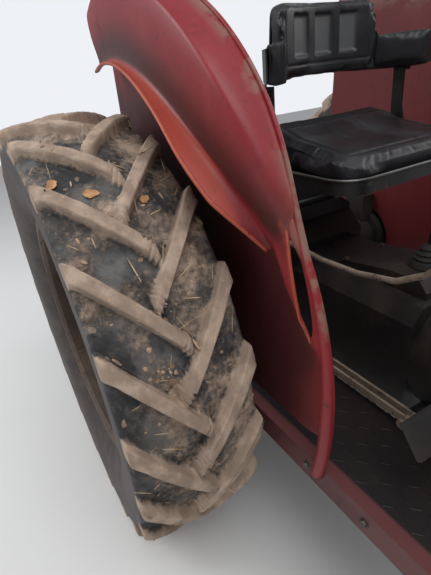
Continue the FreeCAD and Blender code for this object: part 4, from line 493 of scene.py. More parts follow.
def crumbs(hand, places, size, flat, seed):
    """Crumbs: rings of eight corners, as wide as a ball's, each corner pushed in or out."""
    random, skin, out, side, across = lying(hand, places, seed)
    level = np.array([-0.9, -0.45, 0.1, 0.6, 0.92])[:, None, None]
    around = np.arange(8)[:, None] * math.pi / 4
    rough = random.uniform(0.55, 1.25, (len(places), 5, 8, 1))
    rings = (np.cos(around) * side + np.sin(around) * across) * np.sqrt(1 - level**2) * rough
    rings = rings + out * level * flat * (0.5 + 0.5 * rough)
    return skin + rings * size[:, None, None, None]


def leaf_scraps(hand, places, seed):
    """Dry leaf pieces, widest before the middle and curled up along both edges: rings of eight corners."""
    random, skin, out, way, side = lying(hand, places, seed)
    along = np.linspace(-1, 1, 8)[:, None, None]
    wide = (1 - along**2) ** 0.6 * (1 - 0.25 * along) + 0.05
    half = np.array([-1.0, -0.4, 0.4, 1.0])
    across = np.concatenate([half, half[::-1]])[:, None]
    curl = 0.32 * across**2 + np.repeat([0, 0.05], 4)[:, None]
    ragged = random.uniform(0.75, 1.2, (len(places), 8, 8, 1))
    rings = way * along * 1.25 + side * wide * across * 0.75 * ragged
    rings = rings + out * (0.22 * along**2 + curl * wide * 0.8)
    return skin + out * 0.002 + rings * places[:, 2][:, None, None, None]


def dry_matter(name, low_colour, high_colour, scale, rough=0.85):
    """A dull material in two tones that change from bit to bit, with a faint grain."""
    made, t = finish(name)
    spot = t.spot()
    grain = t.noise(spot, scale * 9, 4.0, 0.7)
    colour = t.blend(t.step(t.noise(spot, scale, 3.0), 0.35, 0.65), low_colour, high_colour)
    dark = t.blend(t.step(grain, 0.55, 0.8), colour, tuple(0.45 * c for c in low_colour))
    t.skin(dark, rough, (grain, 0.5, 0.001))
    return made


straw_colour = dry_matter("straw", (0.42, 0.29, 0.15), (0.62, 0.50, 0.33), 30.0)
chip_colour = dry_matter("bark and wood chips", (0.20, 0.13, 0.085), (0.52, 0.36, 0.25), 34.0)
leaf_colour = dry_matter("dry leaf", (0.42, 0.20, 0.085), (0.58, 0.33, 0.16), 40.0, 0.7)
clod_colour = dry_matter("clods", (0.16, 0.115, 0.085), (0.33, 0.25, 0.19), 25.0, 0.95)
for side, hand in SIDES:
    random = np.random.default_rng(40 + hand)
    strewn = [random.uniform(0, 2 * math.pi, 330), random.uniform(-TREAD_REACH, TREAD_REACH, 330)]
    strewn = np.stack(strewn, -1)
    heaped = CHIP_HEAPS[random.integers(0, len(CHIP_HEAPS), 60)]
    heaped = heaped + random.normal(0, 1, (60, 2)) * (0.03, 0.016)
    in_gaps = strewn[rear_tread(strewn[:, 0], strewn[:, 1], hand)[1] < 0.3]
    chip_sizes = random.uniform(0.002, 0.006, len(heaped))
    clod_sizes = random.uniform(0.0022, 0.0085, len(in_gaps))
    for start, rings, material in (
        ("straw_", straws(hand, 41, 260, (0.014, 0.060), (0.0012, 0.0030), 0.0007), straw_colour),
        ("wood_chips_", straws(hand, 42, 170, (0.006, 0.022), (0.003, 0.008), 0.0016), chip_colour),
        ("chip_heaps_", crumbs(hand, heaped, chip_sizes, 0.4, 43), chip_colour),
        ("clods_", crumbs(hand, in_gaps, clod_sizes, 0.38, 44), clod_colour),
        ("leaf_scraps_", leaf_scraps(hand, LEAVES, 45), leaf_colour),
    ):
        kept = np.linalg.norm(rings[..., [0, 2]], axis=-1).max(axis=(1, 2)) < TYRE_RADIUS - 0.0004
        rings = rings[kept] + rear_axle(side)
        ringed(start + side, rings, material, "tread_rubber", "rear_wheel_" + side, smooth=False)


# Mudguards: pressed sheet steel, painted red and long faded. A flat plate stands inside the tyre,
# its front edge rolled into a bead, with a leaf-shaped slit behind the bead; the hollow crown
# grows out of the plate, widest a little above the front, with a rolled lip along its outer edge.
GUARD_PLANE = 0.455
GUARD_SHEET = 0.004
AXLE_X, _, AXLE_Z = np.mean(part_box("rear_tyre_right"), axis=0)
GUARD_FOOT = 0.600
BEAD_LOW = 0.5035
CROWN_GAP, LIP_GAP, CROWN_DEPTH, LIP_WIDTH = 0.280, 0.105, 0.095, 0.045
CROWN_END = 102
# angle up from the front, then shares of the crown's reach, depth, lip radius and lip flare
CROWN = np.array([
    (32.6, 0.505, 0.215, 0.660, 0.00), (36, 0.640, 0.42, 0.80, 0.38), (40, 0.716, 0.60, 0.87, 0.78),
    (43, 0.768, 0.71, 0.905, 0.95), (50, 0.875, 0.90, 0.96, 0.89), (60, 0.961, 0.98, 0.98, 0.58),
    (72, 0.996, 0.95, 0.99, 0.36), (84, 0.996, 0.83, 0.99, 0.24), (94, 0.975, 0.70, 1.00, 0.20),
    (CROWN_END, 0.946, 0.58, 1.00, 0.18),
])
# angle and share of the crown's reach along the front edge
FRONT_EDGE = np.array([(-9, 0.446), (8, 0.518), (24, 0.579), (30, 0.600), (36, 0.654), *CROWN[3:, :2]])
# angle, radius of the front edge's bead, how far inside the front edge the plate ends
BEAD = np.array([
    (-9, 0.0150, 0.026), (4, 0.0150, 0.026), (14, 0.0110, 0.018), (24, 0.0085, 0.014), (34, 0.0070, 0.012),
    (43, 0.0055, 0.020), (50, 0.0048, 0.026), (66, 0.0040, 0.026),
])
# angle, radius of the fold in the plate below the crown, how far the plate swells out past it
SWELL = np.array([
    (9, 0.745, 0.0), (14, 0.738, 0.05), (17, 0.722, 0.09), (21, 0.708, 0.13), (26, 0.700, 0.18),
    (30, 0.706, 0.205), (35, 0.706, 0.20), (39, 0.706, 0.0),
])
# angle, radius of the slit's rear edge, radius of its front edge
SLIT = np.array([
    (16.7, 0.732, 0.732), (20.0, 0.723, 0.744), (24.0, 0.733, 0.7540), (28.5, 0.7525, 0.7640),
    (32.0, 0.7725, 0.777), (35.2, 0.794, 0.794),
])


def curve_through(points, pieces):
    """A smooth curve through the rows of points: between two rows it is the cubic whose slope at
    each is half the step from the row before to the row after."""
    points = np.asarray(points)
    padded = np.concatenate([2 * points[:1] - points[1:2], points, 2 * points[-1:] - points[-2:-1]])
    t = np.linspace(0, 1, pieces, endpoint=False).reshape(-1, *[1] * (points.ndim - 1))
    parts = []
    for a, b, c, d in zip(padded, padded[1:], padded[2:], padded[3:]):
        start = b * (1 + 2 * t) + (c - a) / 2 * t
        end = c * (3 - 2 * t) - (d - b) / 2 * (1 - t)
        parts.append(start * (1 - t) ** 2 + end * t**2)
    return np.concatenate(parts + [points[-1:]])


def along_table(at, table):
    """The other columns of a table at values of its first."""
    return [np.interp(at, table[:, 0], column) for column in table.T[1:]]


def round_axle(angle, radius, y):
    """Points from their angle up from the front, their radius about the rear axle and their y."""
    turn = np.radians(angle)
    return place(AXLE_X + radius * np.cos(turn), y, AXLE_Z + radius * np.sin(turn))


def pipe_points(path, radius, corners, lean=(0.0, 1.0, 0.0)):
    """Rings of corners about a path, each square to the path, its first corner towards lean."""
    path = np.asarray(path, float)
    way = unit(np.gradient(path, axis=0))
    first = unit(np.cross(np.cross(way, lean), way))[:, None]
    around = (np.arange(corners) * 2 * math.pi / corners)[:, None]
    ring = first * np.cos(around) + np.cross(way, first[:, 0])[:, None] * np.sin(around)
    return path[:, None] + np.broadcast_to(radius, len(path))[:, None, None] * ring


def piped(name, path, radius, material, slot, corners=8, lean=(0.0, 1.0, 0.0)):
    """A round rod along a path, closed at both ends."""
    return ringed(name, pipe_points(path, radius, corners, lean), material, slot)


def front_edge(angle):
    """The radius of the plate's front edge at an angle, on a smooth curve."""
    return AXLE_Z + CROWN_GAP * along_table(angle, curve_through(FRONT_EDGE, 6))[0]


def swell_at(angle, radius):
    """How far the plate stands out below the crown: nothing behind the fold, all of it 16 mm past it."""
    fold, share = along_table(angle, SWELL)
    return CROWN_DEPTH * share * soft_step((radius - fold) / 0.016)


def round_guard(points):
    """Angle, radius and distance out from the plate's middle of points on a mudguard."""
    x, y, z = (np.reshape(points, (-1, 3)) - (AXLE_X, 0, AXLE_Z)).T
    return np.degrees(np.arctan2(z, x)), np.hypot(x, z), np.abs(y) - GUARD_PLANE


def crown_rings(hand):
    """The crown: at each angle a ribbon one sheet thick, its section a smooth curve through nine
    points from the plate over the top and down the skirt to the flared lip."""
    angle, reach, depth, lip, flare = curve_through(CROWN, 6).T
    skirt = GUARD_PLANE + CROWN_DEPTH * depth
    top = AXLE_Z + CROWN_GAP * reach
    lip = AXLE_Z + LIP_GAP * lip
    bend = np.minimum(0.026, (skirt - GUARD_PLANE) * 0.5)
    wall = top - bend * 0.75 - lip
    across = np.stack(np.broadcast_arrays(
        GUARD_PLANE - 0.0012, GUARD_PLANE + 0.002, GUARD_PLANE + bend * 0.45, skirt - bend * 0.6,
        skirt - 0.003, skirt, skirt - bend * 0.2, skirt, skirt + LIP_WIDTH * flare + 0.003,
    ))
    up = np.stack([
        top - 0.038, top - 0.012, top - 0.001, top - 0.002, top - bend * 0.75, lip + wall * 0.62,
        lip + wall * 0.18, lip + 0.004, lip - 0.002,
    ])
    section = curve_through(np.stack([across, up], -1), 4).transpose(1, 0, 2)
    way = unit(np.gradient(section, axis=1))
    inner = section + np.stack([way[..., 1], -way[..., 0]], -1) * GUARD_SHEET
    across, up = np.moveaxis(np.concatenate([section, inner[:, ::-1]], axis=1), -1, 0)
    lip_line = round_axle(angle, section[:, -1, 1], hand * section[:, -1, 0])
    return round_axle(angle[:, None], up, hand * across), lip_line


def plate_bands(hand):
    """The flat plate as two bands of rings about the axle, which meet along the slit's two edges.

    Each ring has the plate's two faces; its far end lies on the front edge, the rear edge or the foot.
    Just below the crown the plate swells out to meet it, past a fold that runs down to the slit's tip.
    """
    spans = ((-9, 16.7, 18), (17.4, 35.2, 26), (36, CROWN_END, 60), (104, 183.2, 40))
    angle = np.concatenate([np.linspace(*span) for span in spans])
    ray_x, ray_z = np.cos(np.radians(angle)), np.sin(np.radians(angle))
    far = front_edge(angle) - along_table(angle, BEAD)[1]
    last = math.radians(CROWN_END)
    top_x, top_z = np.array([math.cos(last), math.sin(last)]) * (front_edge(CROWN_END) - 0.026)
    drop = AXLE_Z - GUARD_FOOT
    fall_x, fall_z = -0.060, -drop - top_z
    behind = (top_x * fall_z - top_z * fall_x) / (ray_x * fall_z - ray_z * fall_x)
    below = np.where(ray_z < -1e-4, drop / np.maximum(-ray_z, 1e-4), 9.0)
    far = np.minimum(np.where(angle > CROWN_END, behind, far), below)
    near = np.minimum(0.124, far - 0.002)
    low, high = along_table(angle, SLIT)
    middle = near + (far - near) * 0.95
    beside = (angle < SLIT[0, 0]) | (angle > SLIT[-1, 0])
    low = np.where(beside, middle, np.minimum(low, far - 0.004))
    high = np.where(beside, middle, np.minimum(high, far - 0.002))
    shut = 1 - soft_step((high - low) / 0.012)[:, None]
    columns = np.concatenate([np.linspace(0, 0.84, 7), np.linspace(0.86, 1, 16)])
    bands = []
    for start, end, share, kept in ((near, low, columns, 1.0), (high, far, np.linspace(0, 1, 5), shut)):
        radius = start[:, None] + (end - start)[:, None] * share
        out = swell_at(angle[:, None], radius) * kept * soft_step((far[:, None] + 0.012 - radius) / 0.020)
        inner, outer = (
            round_axle(angle[:, None], radius, hand * (GUARD_PLANE + out + face * GUARD_SHEET / 2))
            for face in (-1, 1)
        )
        bands.append(np.concatenate([inner, outer[:, ::-1]], axis=1))
    return bands


# Old paint: one colour faded in patches, streaked downwards, with rust where it has chipped.
PAINTS = {"Paint": (0.2, 0.02, 0.02), "Faded": (0.3, 0.08, 0.07), "Rust": (0.09, 0.045, 0.03)}
t, given, spot = effect("worn_paint", {**PAINTS, "Fading": 0.5, "Chips": 0.3})
downwards = t.node("VectorMath", {0: spot, 1: (1.0, 1.0, 0.16)}, operation="MULTIPLY")
level = t.plus(t.times(t.noise(spot, 4.0), 0.6), t.noise(downwards, 14.0, 4.0), 0.4)
fine = t.noise(spot, 70.0, 6.0, 0.72)
chipped = t.plus(fine, t.noise(spot, 9.0, 4.0), 0.5)
chipped = t.step(t.plus(chipped, given["Chips"], 0.4), 0.98, 1.06)
tone = t.blend(t.step(t.plus(level, given["Fading"], 0.5), 0.58, 0.92), given["Paint"], given["Faded"])
tone = t.blend(t.times(t.step(fine, 0.5, 0.75), 0.35), tone, (0.03, 0.012, 0.01))
close(t, t.blend(chipped, tone, given["Rust"]), chipped, t.maths("SUBTRACT", t.times(fine, 0.15), chipped))
paint_tree = t.tree

# Grease and dust that settle over a finish: patches of a dull colour, more where Amount is more.
GRIME = {"Under": (0.1, 0.1, 0.1), "Grime": (0.05, 0.042, 0.035), "Amount": 0.4}
t, given, spot = effect("settled_grime", GRIME)
fine = t.noise(spot, 120.0, 5.0, 0.7)
mask = t.step(t.plus(t.plus(t.noise(spot, 7.0, 8.0, 0.62), fine, 0.25), given["Amount"]), 0.72, 1.12)
close(t, t.blend(mask, given["Under"], given["Grime"]), mask, t.times(mask, fine))
grime_tree = t.tree


def painted(
    name, paint, faded, rust=(0.085, 0.042, 0.028), grime=(0.045, 0.036, 0.030), fading=0.5, chips=0.3,
    amount=0.3, rough=0.5, metallic=0.0, bump=0.5, over=(),
):
    """A painted or bare metal finish: worn paint under settled grime, rougher where either shows.

    over is (mask, colour) pairs laid between the two, each mask made by a function of the shading.
    """
    made, t = finish(name)
    worn = {"Paint": paint, "Faded": faded, "Rust": rust, "Fading": fading, "Chips": chips}
    coat = t.group(paint_tree, worn)
    colour = coat["Colour"]
    for mask, tone in over:
        colour = t.blend(mask(t), colour, tone)
    dirt = t.group(grime_tree, {"Under": colour, "Grime": grime, "Amount": amount})
    roughness = t.spread(t.maths("MAXIMUM", coat["Mask"], dirt["Mask"]), rough, min(rough + 0.35, 0.95))
    height = t.plus(coat["Height"], dirt["Height"], 0.5)
    plain = {"Metallic": metallic, "Specular IOR Level": 0.35}
    t.skin(dirt["Colour"], roughness, (height, bump, 0.0008), plain)
    return made


def stored_mask(label):
    return lambda t: t.stored(label)


def rubbed_through(t):
    """What the mesh says is rubbed, broken into patches."""
    return t.times(t.stored("rubbed"), t.step(t.noise(t.spot(), 16.0, 6.0, 0.65), 0.46, 0.58))


guard_red = painted(
    "faded red mudguard", (0.245, 0.022, 0.028), (0.320, 0.048, 0.048), fading=0.30, chips=0.16,
    grime=(0.050, 0.020, 0.018), amount=0.06, rough=0.42,
    over=(
        # painted shade on the plate under the crown and on its inner face
        (stored_mask("spray"), (0.050, 0.013, 0.014)),
        # painted shade on the crown's skirt below its rounded top
        (stored_mask("valley"), (0.052, 0.016, 0.013)),
        # painted highlight along the flared lip and the slit's rear edge
        (stored_mask("lip"), (0.370, 0.052, 0.034)),
        (rubbed_through, (0.230, 0.150, 0.110)),
    ),
)
# Painted highlight: the rods along the crown's lip and the slit's edge are a brighter orange red than the
# paint.
lip_highlight_red = painted(
    "orange red lip painted highlight", (0.370, 0.062, 0.036), (0.450, 0.110, 0.060), fading=0.4, chips=0.2,
    grime=(0.08, 0.03, 0.02), amount=0.05, rough=0.45,
)
for side, hand in SIDES:
    crown, lip_line = crown_rings(hand)
    parts = [crown, *plate_bands(hand)]
    starts = np.cumsum([0] + [part[..., 0].size for part in parts])
    faces = np.concatenate([ring_faces(1, *part.shape[:2]) + start for part, start in zip(parts, starts)])
    points = np.concatenate([part.reshape(-1, 3) for part in parts])
    guard = mesh_from(
        "mudguard_skin_" + side, points, faces[:, ::hand], guard_red, "chassis", "red_sheet",
        "mudguard_" + side, split=48,
    )
    angle, radius, out = round_guard(points)
    # Painted shade: the plate's outer face darkens below the crown's fold, more towards the axle, and its
    # inner face is darkened evenly.
    fold = np.interp(angle, SWELL[:, 0], SWELL[:, 1], right=0.706)
    spray = 0.90 * soft_step((fold + 0.030 - radius) / (0.05 + 0.11 * soft_step((16 - angle) / 12)))
    put_on(guard, "spray", np.where(out > 0, spray, 0.60))
    # Painted shade on the crown's skirt, between the lip and the rounded top.
    valley = soft_step((radius - 0.735) / 0.016) * soft_step((0.852 - radius) / 0.085)
    put_on(guard, "valley", 0.9 * soft_step((out - 0.012) / 0.02) * valley)
    # Painted highlight along the flared lip and along the plate beside the slit's rear edge.
    lip_highlight = soft_step((out - 0.060) / 0.020) * soft_step((0.750 - radius) / 0.010)
    edge = np.interp(angle, SLIT[:, 0], SLIT[:, 1], left=9, right=9)
    slit_edge_highlight = 0.8 * (out > 0) * soft_step((radius - edge + 0.016) / 0.015) * (radius < edge + 0.001)
    put_on(guard, "lip", np.maximum(lip_highlight, slit_edge_highlight))
    rim = soft_step((40 - angle) / 12) * soft_step((radius - 0.765) / 0.02)
    rim = rim + soft_step((radius - 0.790) / 0.10)
    put_on(guard, "rubbed", 0.8 * np.clip(rim, 0, 1) * soft_step((0.040 - out) / 0.030))
    angle = np.linspace(-9.9, 66, 90)
    thick = along_table(angle, BEAD)[0]
    reach = front_edge(angle) - thick - np.interp(angle, (30, 44), (0.005, -0.002))
    line = round_axle(angle, reach, hand * (GUARD_PLANE + np.interp(angle, (30, 44), (0.73, 0.10)) * thick))
    above = line[:, 2] > BEAD_LOW
    rings = pipe_points(line[above], thick[above], 16)
    bead = ringed("mudguard_bead_" + side, rings, guard_red, "red_sheet")
    angle, radius, _ = round_guard(rings)
    forward = soft_step((radius - np.repeat(reach[above], 16)) / 0.006)
    put_on(bead, "rubbed", 0.85 * forward * soft_step((angle - 12) / 12))
    angle, radius, _ = curve_through(SLIT, 8).T
    line = round_axle(angle, radius - 0.0010, hand * (GUARD_PLANE + swell_at(angle, radius) + 0.0012))
    # The two lip rods carry the painted highlight.
    piped("mudguard_slit_lip_" + side, line, 0.0028, lip_highlight_red, "red_sheet")
    piped("mudguard_lip_" + side, lip_line, 0.0042, lip_highlight_red, "red_sheet")


# Footboards: chequered steel plate on two cross members a side, with an angle-iron rail along the
# outer edge. The boards are near black, partly grease and boot dirt and partly painted shade on the platform;
# the rail keeps some of its red.
BOARD_TOP = 0.525
LOZENGE_ROWS, LOZENGE_COLUMNS = 7, 23
LOZENGE_LEAN = 0.72
UP = (0, 0, 1)
# How far out, how wide and whether six-sided: a bolt head on its washer, a domed head
BOLT = ((0.0, 1.35, 0), (0.18, 1.35, 0), (0.18, 1.0, 1), (0.85, 1.0, 1), (1.0, 0.86, 0), (1.0, 0.4, 0))
DOME = ((0.0, 1.35, 0), (0.15, 1.35, 0), (0.3, 1.2, 0), (0.65, 0.95, 0), (0.95, 0.5, 0), (1.0, 0.1, 0))
bolt_steel = painted(
    "dull bolt steel", (0.10, 0.09, 0.085), (0.17, 0.15, 0.13), chips=0.4, amount=0.2, rough=0.42,
    metallic=0.6,
)


def blocks(name, centres, half_sizes, turns, material, slot):
    """Low blocks that lie flat, each narrowed at its top: rings of four corners at foot and top.

    The half sizes and the turns about the upright are one for all or one for each.
    """
    corners = np.array([(-1, -1), (1, -1), (1, 1), (-1, 1)])
    half_sizes = np.broadcast_to(half_sizes, np.shape(centres))[:, None]
    turns = np.broadcast_to(turns, len(centres))[:, None]
    rings = []
    for height, share in ((-1, 1.0), (0.55, 1.0), (1, 0.72)):
        x, y = np.moveaxis(corners * half_sizes[..., :2] * share, -1, 0)
        turned = x * np.cos(turns) - y * np.sin(turns), x * np.sin(turns) + y * np.cos(turns)
        rings.append(np.asarray(centres)[:, None] + place(*turned, height * half_sizes[..., 2]))
    return ringed(name, np.stack(rings, 1), material, slot, smooth=False)


def square_to(axis):
    """An axis at length 1, and two directions square to it and to each other."""
    axis = unit(np.asarray(axis, float))
    side = unit(np.cross(axis, UP if abs(axis[2]) < 0.8 else (1, 0, 0)))
    return axis, side, np.cross(axis, side)


def studs(
    name, places, outward, radius, height, material=bolt_steel, body="chassis", slot="worn_steel",
    profile=BOLT, corners=12, split=35,
):
    """Small turned shapes, such as bolt heads: the same rings of corners built up from each place."""
    outward, side, other = square_to(outward)
    turn = np.arange(corners)[:, None] * 2 * math.pi / corners
    hexagon = math.cos(math.pi / 6) / np.cos((turn + math.pi / 6) % (math.pi / 3) - math.pi / 6)
    circle = radius * (np.cos(turn) * side + np.sin(turn) * other)
    rings = [outward * rise * height + circle * wide * (hexagon if six else 1) for rise, wide, six in profile]
    return ringed(name, np.reshape(places, (-1, 1, 1, 3)) + rings, material, slot, body, split=split)


def dress(material, *names):
    """Gives CAD parts whose shape is right their finish."""
    for name in names:
        nodes[name].data.materials.clear()
        nodes[name].data.materials.append(material)


def outer_edge(t):
    """Shows on the outermost 30 mm of the boards and on the rail."""
    out = t.maths("ABSOLUTE", t.node("SeparateXYZ", {0: t.spot()}, "Y"))
    return t.times(t.step(out, 0.424, 0.434), 0.85)


# Painted shade: the boards' near-black colour also stands in for the shade on the platform.
board_black = painted(
    "greasy footboard with painted shade", (0.012, 0.010, 0.010), (0.021, 0.016, 0.014), grime=(0.034, 0.027, 0.023), fading=0.4,
    chips=0.12, amount=0.08, over=((outer_edge, (0.135, 0.040, 0.040)),),
)
for side, hand in SIDES:
    dress(board_black, "footboard_" + side)
    low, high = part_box("footboard_" + side)
    row, column = np.indices((LOZENGE_ROWS, LOZENGE_COLUMNS)).reshape(2, -1)
    centres = place(low.x + 0.085 + column * 0.0345, hand * (0.178 + row * 0.0395), BOARD_TOP + 0.0004)
    lean = LOZENGE_LEAN * (-1) ** (row + column)
    blocks("footboard_pattern_" + side, centres, (0.0125, 0.0032, 0.0011), lean, board_black, "black_steel")
    edge = (high if hand > 0 else low).y
    rail = place(np.linspace(low.x + 0.10, high.x - 0.16, 5), edge, BOARD_TOP - 0.034)
    studs("rail_bolts_" + side, rail, (0, hand, 0), 0.0085, 0.006)


# Seat: a pressed steel pan on a bracket, a cushion and a curved backrest of black vinyl over foam.
# The backrest's panel has a raised frame round three upright hollows, and its lower part reaches
# forward on both sides as padded wings.
PAD_VOXEL = 0.005
PAD_PRESSURE = 4.0
CLOTH_FRAMES = 20
# middle and half width of the backrest's hollows, their foot and top, and their depth
HOLLOWS = ((-0.083, 0.026), (0.0, 0.028), (0.083, 0.026))
HOLLOW_LOW, HOLLOW_HIGH = 1.336, 1.436
HOLLOW_DEPTH = 0.008


def worked_out(piece):
    """A piece's mesh with its modifiers at work."""
    return bpy.data.meshes.new_from_object(piece.evaluated_get(bpy.context.evaluated_depsgraph_get()))


def of_points(mesh, label):
    """The place or the normal of each point of a mesh."""
    values = np.empty(len(mesh.vertices) * 3)
    mesh.vertices.foreach_get(label, values)
    return values.reshape(-1, 3)


def plump(name, node, material, cap, shrink):
    """The CAD solid as a padded skin: remeshed, drawn in a little, blown up as cloth with each
    point's movement held to a cap, so that the faces crown and the sides pull in at the corners."""
    mesh = nodes[node].data.copy()
    merged = bmesh.new()
    merged.from_mesh(mesh)
    bmesh.ops.remove_doubles(merged, verts=merged.verts, dist=1e-5)
    merged.to_mesh(mesh)
    merged.free()
    mesh.materials.clear()
    mesh.materials.append(material)
    piece = added(name, mesh)
    remesh = piece.modifiers.new("remesh", "REMESH")
    remesh.mode = "VOXEL"
    remesh.voxel_size = PAD_VOXEL
    piece.data = worked_out(piece)
    piece.modifiers.clear()
    points = of_points(piece.data, "co") - of_points(piece.data, "normal") * shrink
    piece.data.vertices.foreach_set("co", points.ravel())
    cloth = piece.modifiers.new("cloth", "CLOTH")
    cloth.settings.use_pressure = True
    cloth.settings.uniform_pressure_force = PAD_PRESSURE
    cloth.settings.effector_weights.gravity = 0
    cloth.settings.quality = 5
    cloth.point_cache.frame_end = CLOTH_FRAMES
    for frame_number in range(1, CLOTH_FRAMES + 1):
        bpy.context.scene.frame_set(frame_number)
    puffed = worked_out(piece)
    step = of_points(puffed, "co") - points
    length = np.linalg.norm(step, axis=1, keepdims=True)
    points = points + step * np.minimum(1.0, cap / np.maximum(length, 1e-9))
    piece.modifiers.clear()
    bpy.data.meshes.remove(puffed)
    bpy.context.scene.frame_set(1)
    return piece, points


def reshape(piece, points, node):
    """Puts worked-out points back into a padded skin, smooths it and lets it stand for its node."""
    piece.data.vertices.foreach_set("co", points.ravel())
    piece.data.polygons.foreach_set("use_smooth", np.ones(len(piece.data.polygons), bool))
    piece.data.update()
    fine = piece.modifiers.new("fine", "SUBSURF")
    fine.levels = fine.render_levels = 1
    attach(piece, "chassis")
    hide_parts(node)


vinyl, t = finish("black grained vinyl")
spot = t.spot()
cells = t.node("TexVoronoi", {"Vector": spot, "Scale": 620.0}, "Distance", feature="DISTANCE_TO_EDGE")
wear = t.step(t.noise(spot, 8.0, 7.0, 0.62), 0.44, 0.74)
colour = t.blend(wear, (0.0095, 0.0095, 0.011), (0.030, 0.030, 0.034))
# Painted sheen: the floors of the backrest's three hollows are a lighter grey.
colour = t.blend(t.stored("polished"), colour, (0.082, 0.084, 0.084))
dust = t.group(grime_tree, {"Under": colour, "Grime": (0.060, 0.057, 0.055), "Amount": 0.02, "Scale": 1.6})
height = t.plus(t.noise(spot, 26.0, 3.0, 0.5), t.step(cells, 0.0, 0.25), 0.12)
t.skin(dust["Colour"], t.spread(wear, 0.30, 0.50), (height, 0.35, 0.0025), {"Specular IOR Level": 0.38})

back_low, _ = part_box("backrest_pad")
backrest, points = plump("backrest_cover", "backrest_pad", vinyl, 0.006, 0.003)
x, y, z = points.T
rear_part = back_low.x + np.interp(np.abs(y), (0, 0.10, 0.17), (0.020, 0.030, 0.052))
inner_face = soft_step((x - rear_part) / 0.012)
window = inner_face * soft_step((z - HOLLOW_LOW) / 0.008) * soft_step((HOLLOW_HIGH - z) / 0.008)
# The hollows' mask sinks them, and once stored it paints a lighter sheen on their floors.
polished = window * sum(soft_step((half + 0.004 - np.abs(y - middle)) / 0.008) for middle, half in HOLLOWS)
put_on(backrest, "polished", polished**3)
frame_line = np.maximum(np.abs(y) / 0.150, np.abs(z - (HOLLOW_LOW + HOLLOW_HIGH) / 2) / 0.067)
groove = np.exp(-(((frame_line - 1.0) / 0.028) ** 2)) * (z > 1.30)
x -= HOLLOW_DEPTH * polished + 0.0035 * inner_face * groove
reshape(backrest, points, "backrest_pad")

seat_low, seat_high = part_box("seat_cushion")
cushion, points = plump("seat_cover", "seat_cushion", vinyl, 0.012, 0.004)
x, y, z = points.T
top_face = soft_step((z - (seat_low.z + 0.052)) / 0.012)
inset = np.minimum(np.minimum(x - seat_low.x - 0.055, seat_high.x - 0.050 - x), 0.178 - np.abs(y))
pleats = 0.8 * np.exp(-(((np.abs(y) - 0.058) / 0.005) ** 2)) * soft_step(inset / 0.01)
z -= top_face * (0.0042 * (np.exp(-((inset / 0.0045) ** 2)) + pleats) + 0.007 * soft_step(inset / 0.11))
reshape(cushion, points, "seat_cushion")

seat_black = painted(
    "chipped black steel", (0.011, 0.011, 0.012), (0.022, 0.021, 0.021), rust=(0.09, 0.05, 0.035),
    grime=(0.038, 0.032, 0.027), fading=0.35, chips=0.26, amount=0.10, rough=0.40,
)
bare_edge = painted(
    "edge rubbed bright", (0.09, 0.088, 0.085), (0.20, 0.195, 0.185), fading=0.6, chips=0.2, amount=0.1,
    rough=0.35, metallic=0.7,
)
dress(seat_black, "seat_frame", "seat_support")
pan_low, pan_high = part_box("seat_frame")
PAN_TOP = seat_low.z + 0.0287
PAN_REAR, PAN_HALF, PAN_CORNER = pan_low.x + 0.045, 0.232, 0.070
quarter = np.linspace(0, math.pi / 2, 7)
rim_x = np.concatenate([[PAN_REAR, PAN_REAR + 0.060], pan_high.x - PAN_CORNER * (1 - np.sin(quarter))])
rim_y = np.concatenate([[-PAN_HALF + 0.042, -PAN_HALF], -PAN_HALF + PAN_CORNER * (1 - np.cos(quarter))])
rim_line = place(np.concatenate([rim_x, rim_x[::-1]]), np.concatenate([rim_y, -rim_y[::-1]]), PAN_TOP)
piped("seat_pan_rim", rim_line, 0.0034, bare_edge, "black_steel", lean=UP)
for side, hand in SIDES:
    stays = [(PAN_REAR + 0.100, hand * 0.2380, PAN_TOP - 0.012), (PAN_REAR + 0.076, hand * 0.2380, 1.225)]
    studs("seat_stay_bolts_" + side, stays, (0, hand, 0), 0.0085, 0.009, bare_edge, profile=DOME)
base_low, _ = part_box("seat_support")
base_places = [(base_low.x + x, y, base_low.z + 0.014) for x in (0.018, 0.205) for y in (-0.070, 0.070)]
studs("seat_base_bolts", base_places, UP, 0.011, 0.009)


# Wheels: pressed steel rims whose paint has gone under rust and dried mud, held by a ring of nuts
# on a dished disc. The front tyres are narrow, with three ribs round the tread.
FRONT_TURNS = 96
FRONT_RADIUS = 0.3679
# where the nuts stand out from the wheel's middle plane, their circle, how many, the first one's
# angle, and a nut's radius and height
REAR_NUTS = (
    ("rear_wheel_nuts_", -0.0680, 0.112, 8, 0.0, 0.016, 0.022),
    ("rear_hub_nuts_", -0.0360, 0.038, 6, 0.0, 0.0075, 0.008),
    ("rear_rim_nuts_", -0.0428, 0.268, 8, 0.39, 0.012, 0.014),
)
rim_rust = painted(
    "muddy rusted rim", (0.060, 0.043, 0.036), (0.105, 0.076, 0.060), rust=(0.100, 0.048, 0.028),
    grime=(0.150, 0.115, 0.088), chips=0.45, amount=0.20, rough=0.6, bump=0.8,
)
nut_steel = painted(
    "rusted nut", (0.10, 0.075, 0.06), (0.17, 0.13, 0.10), chips=0.5, amount=0.2, metallic=0.4,
)


def round_wheel(centre, out, radius, count, start=0.0):
    """Places on a circle about an axis across the tractor, moved along it from the centre."""
    turn = start + np.arange(count) * 2 * math.pi / count
    return place(centre[0] + radius * np.cos(turn), centre[1] + out, centre[2] + radius * np.sin(turn))


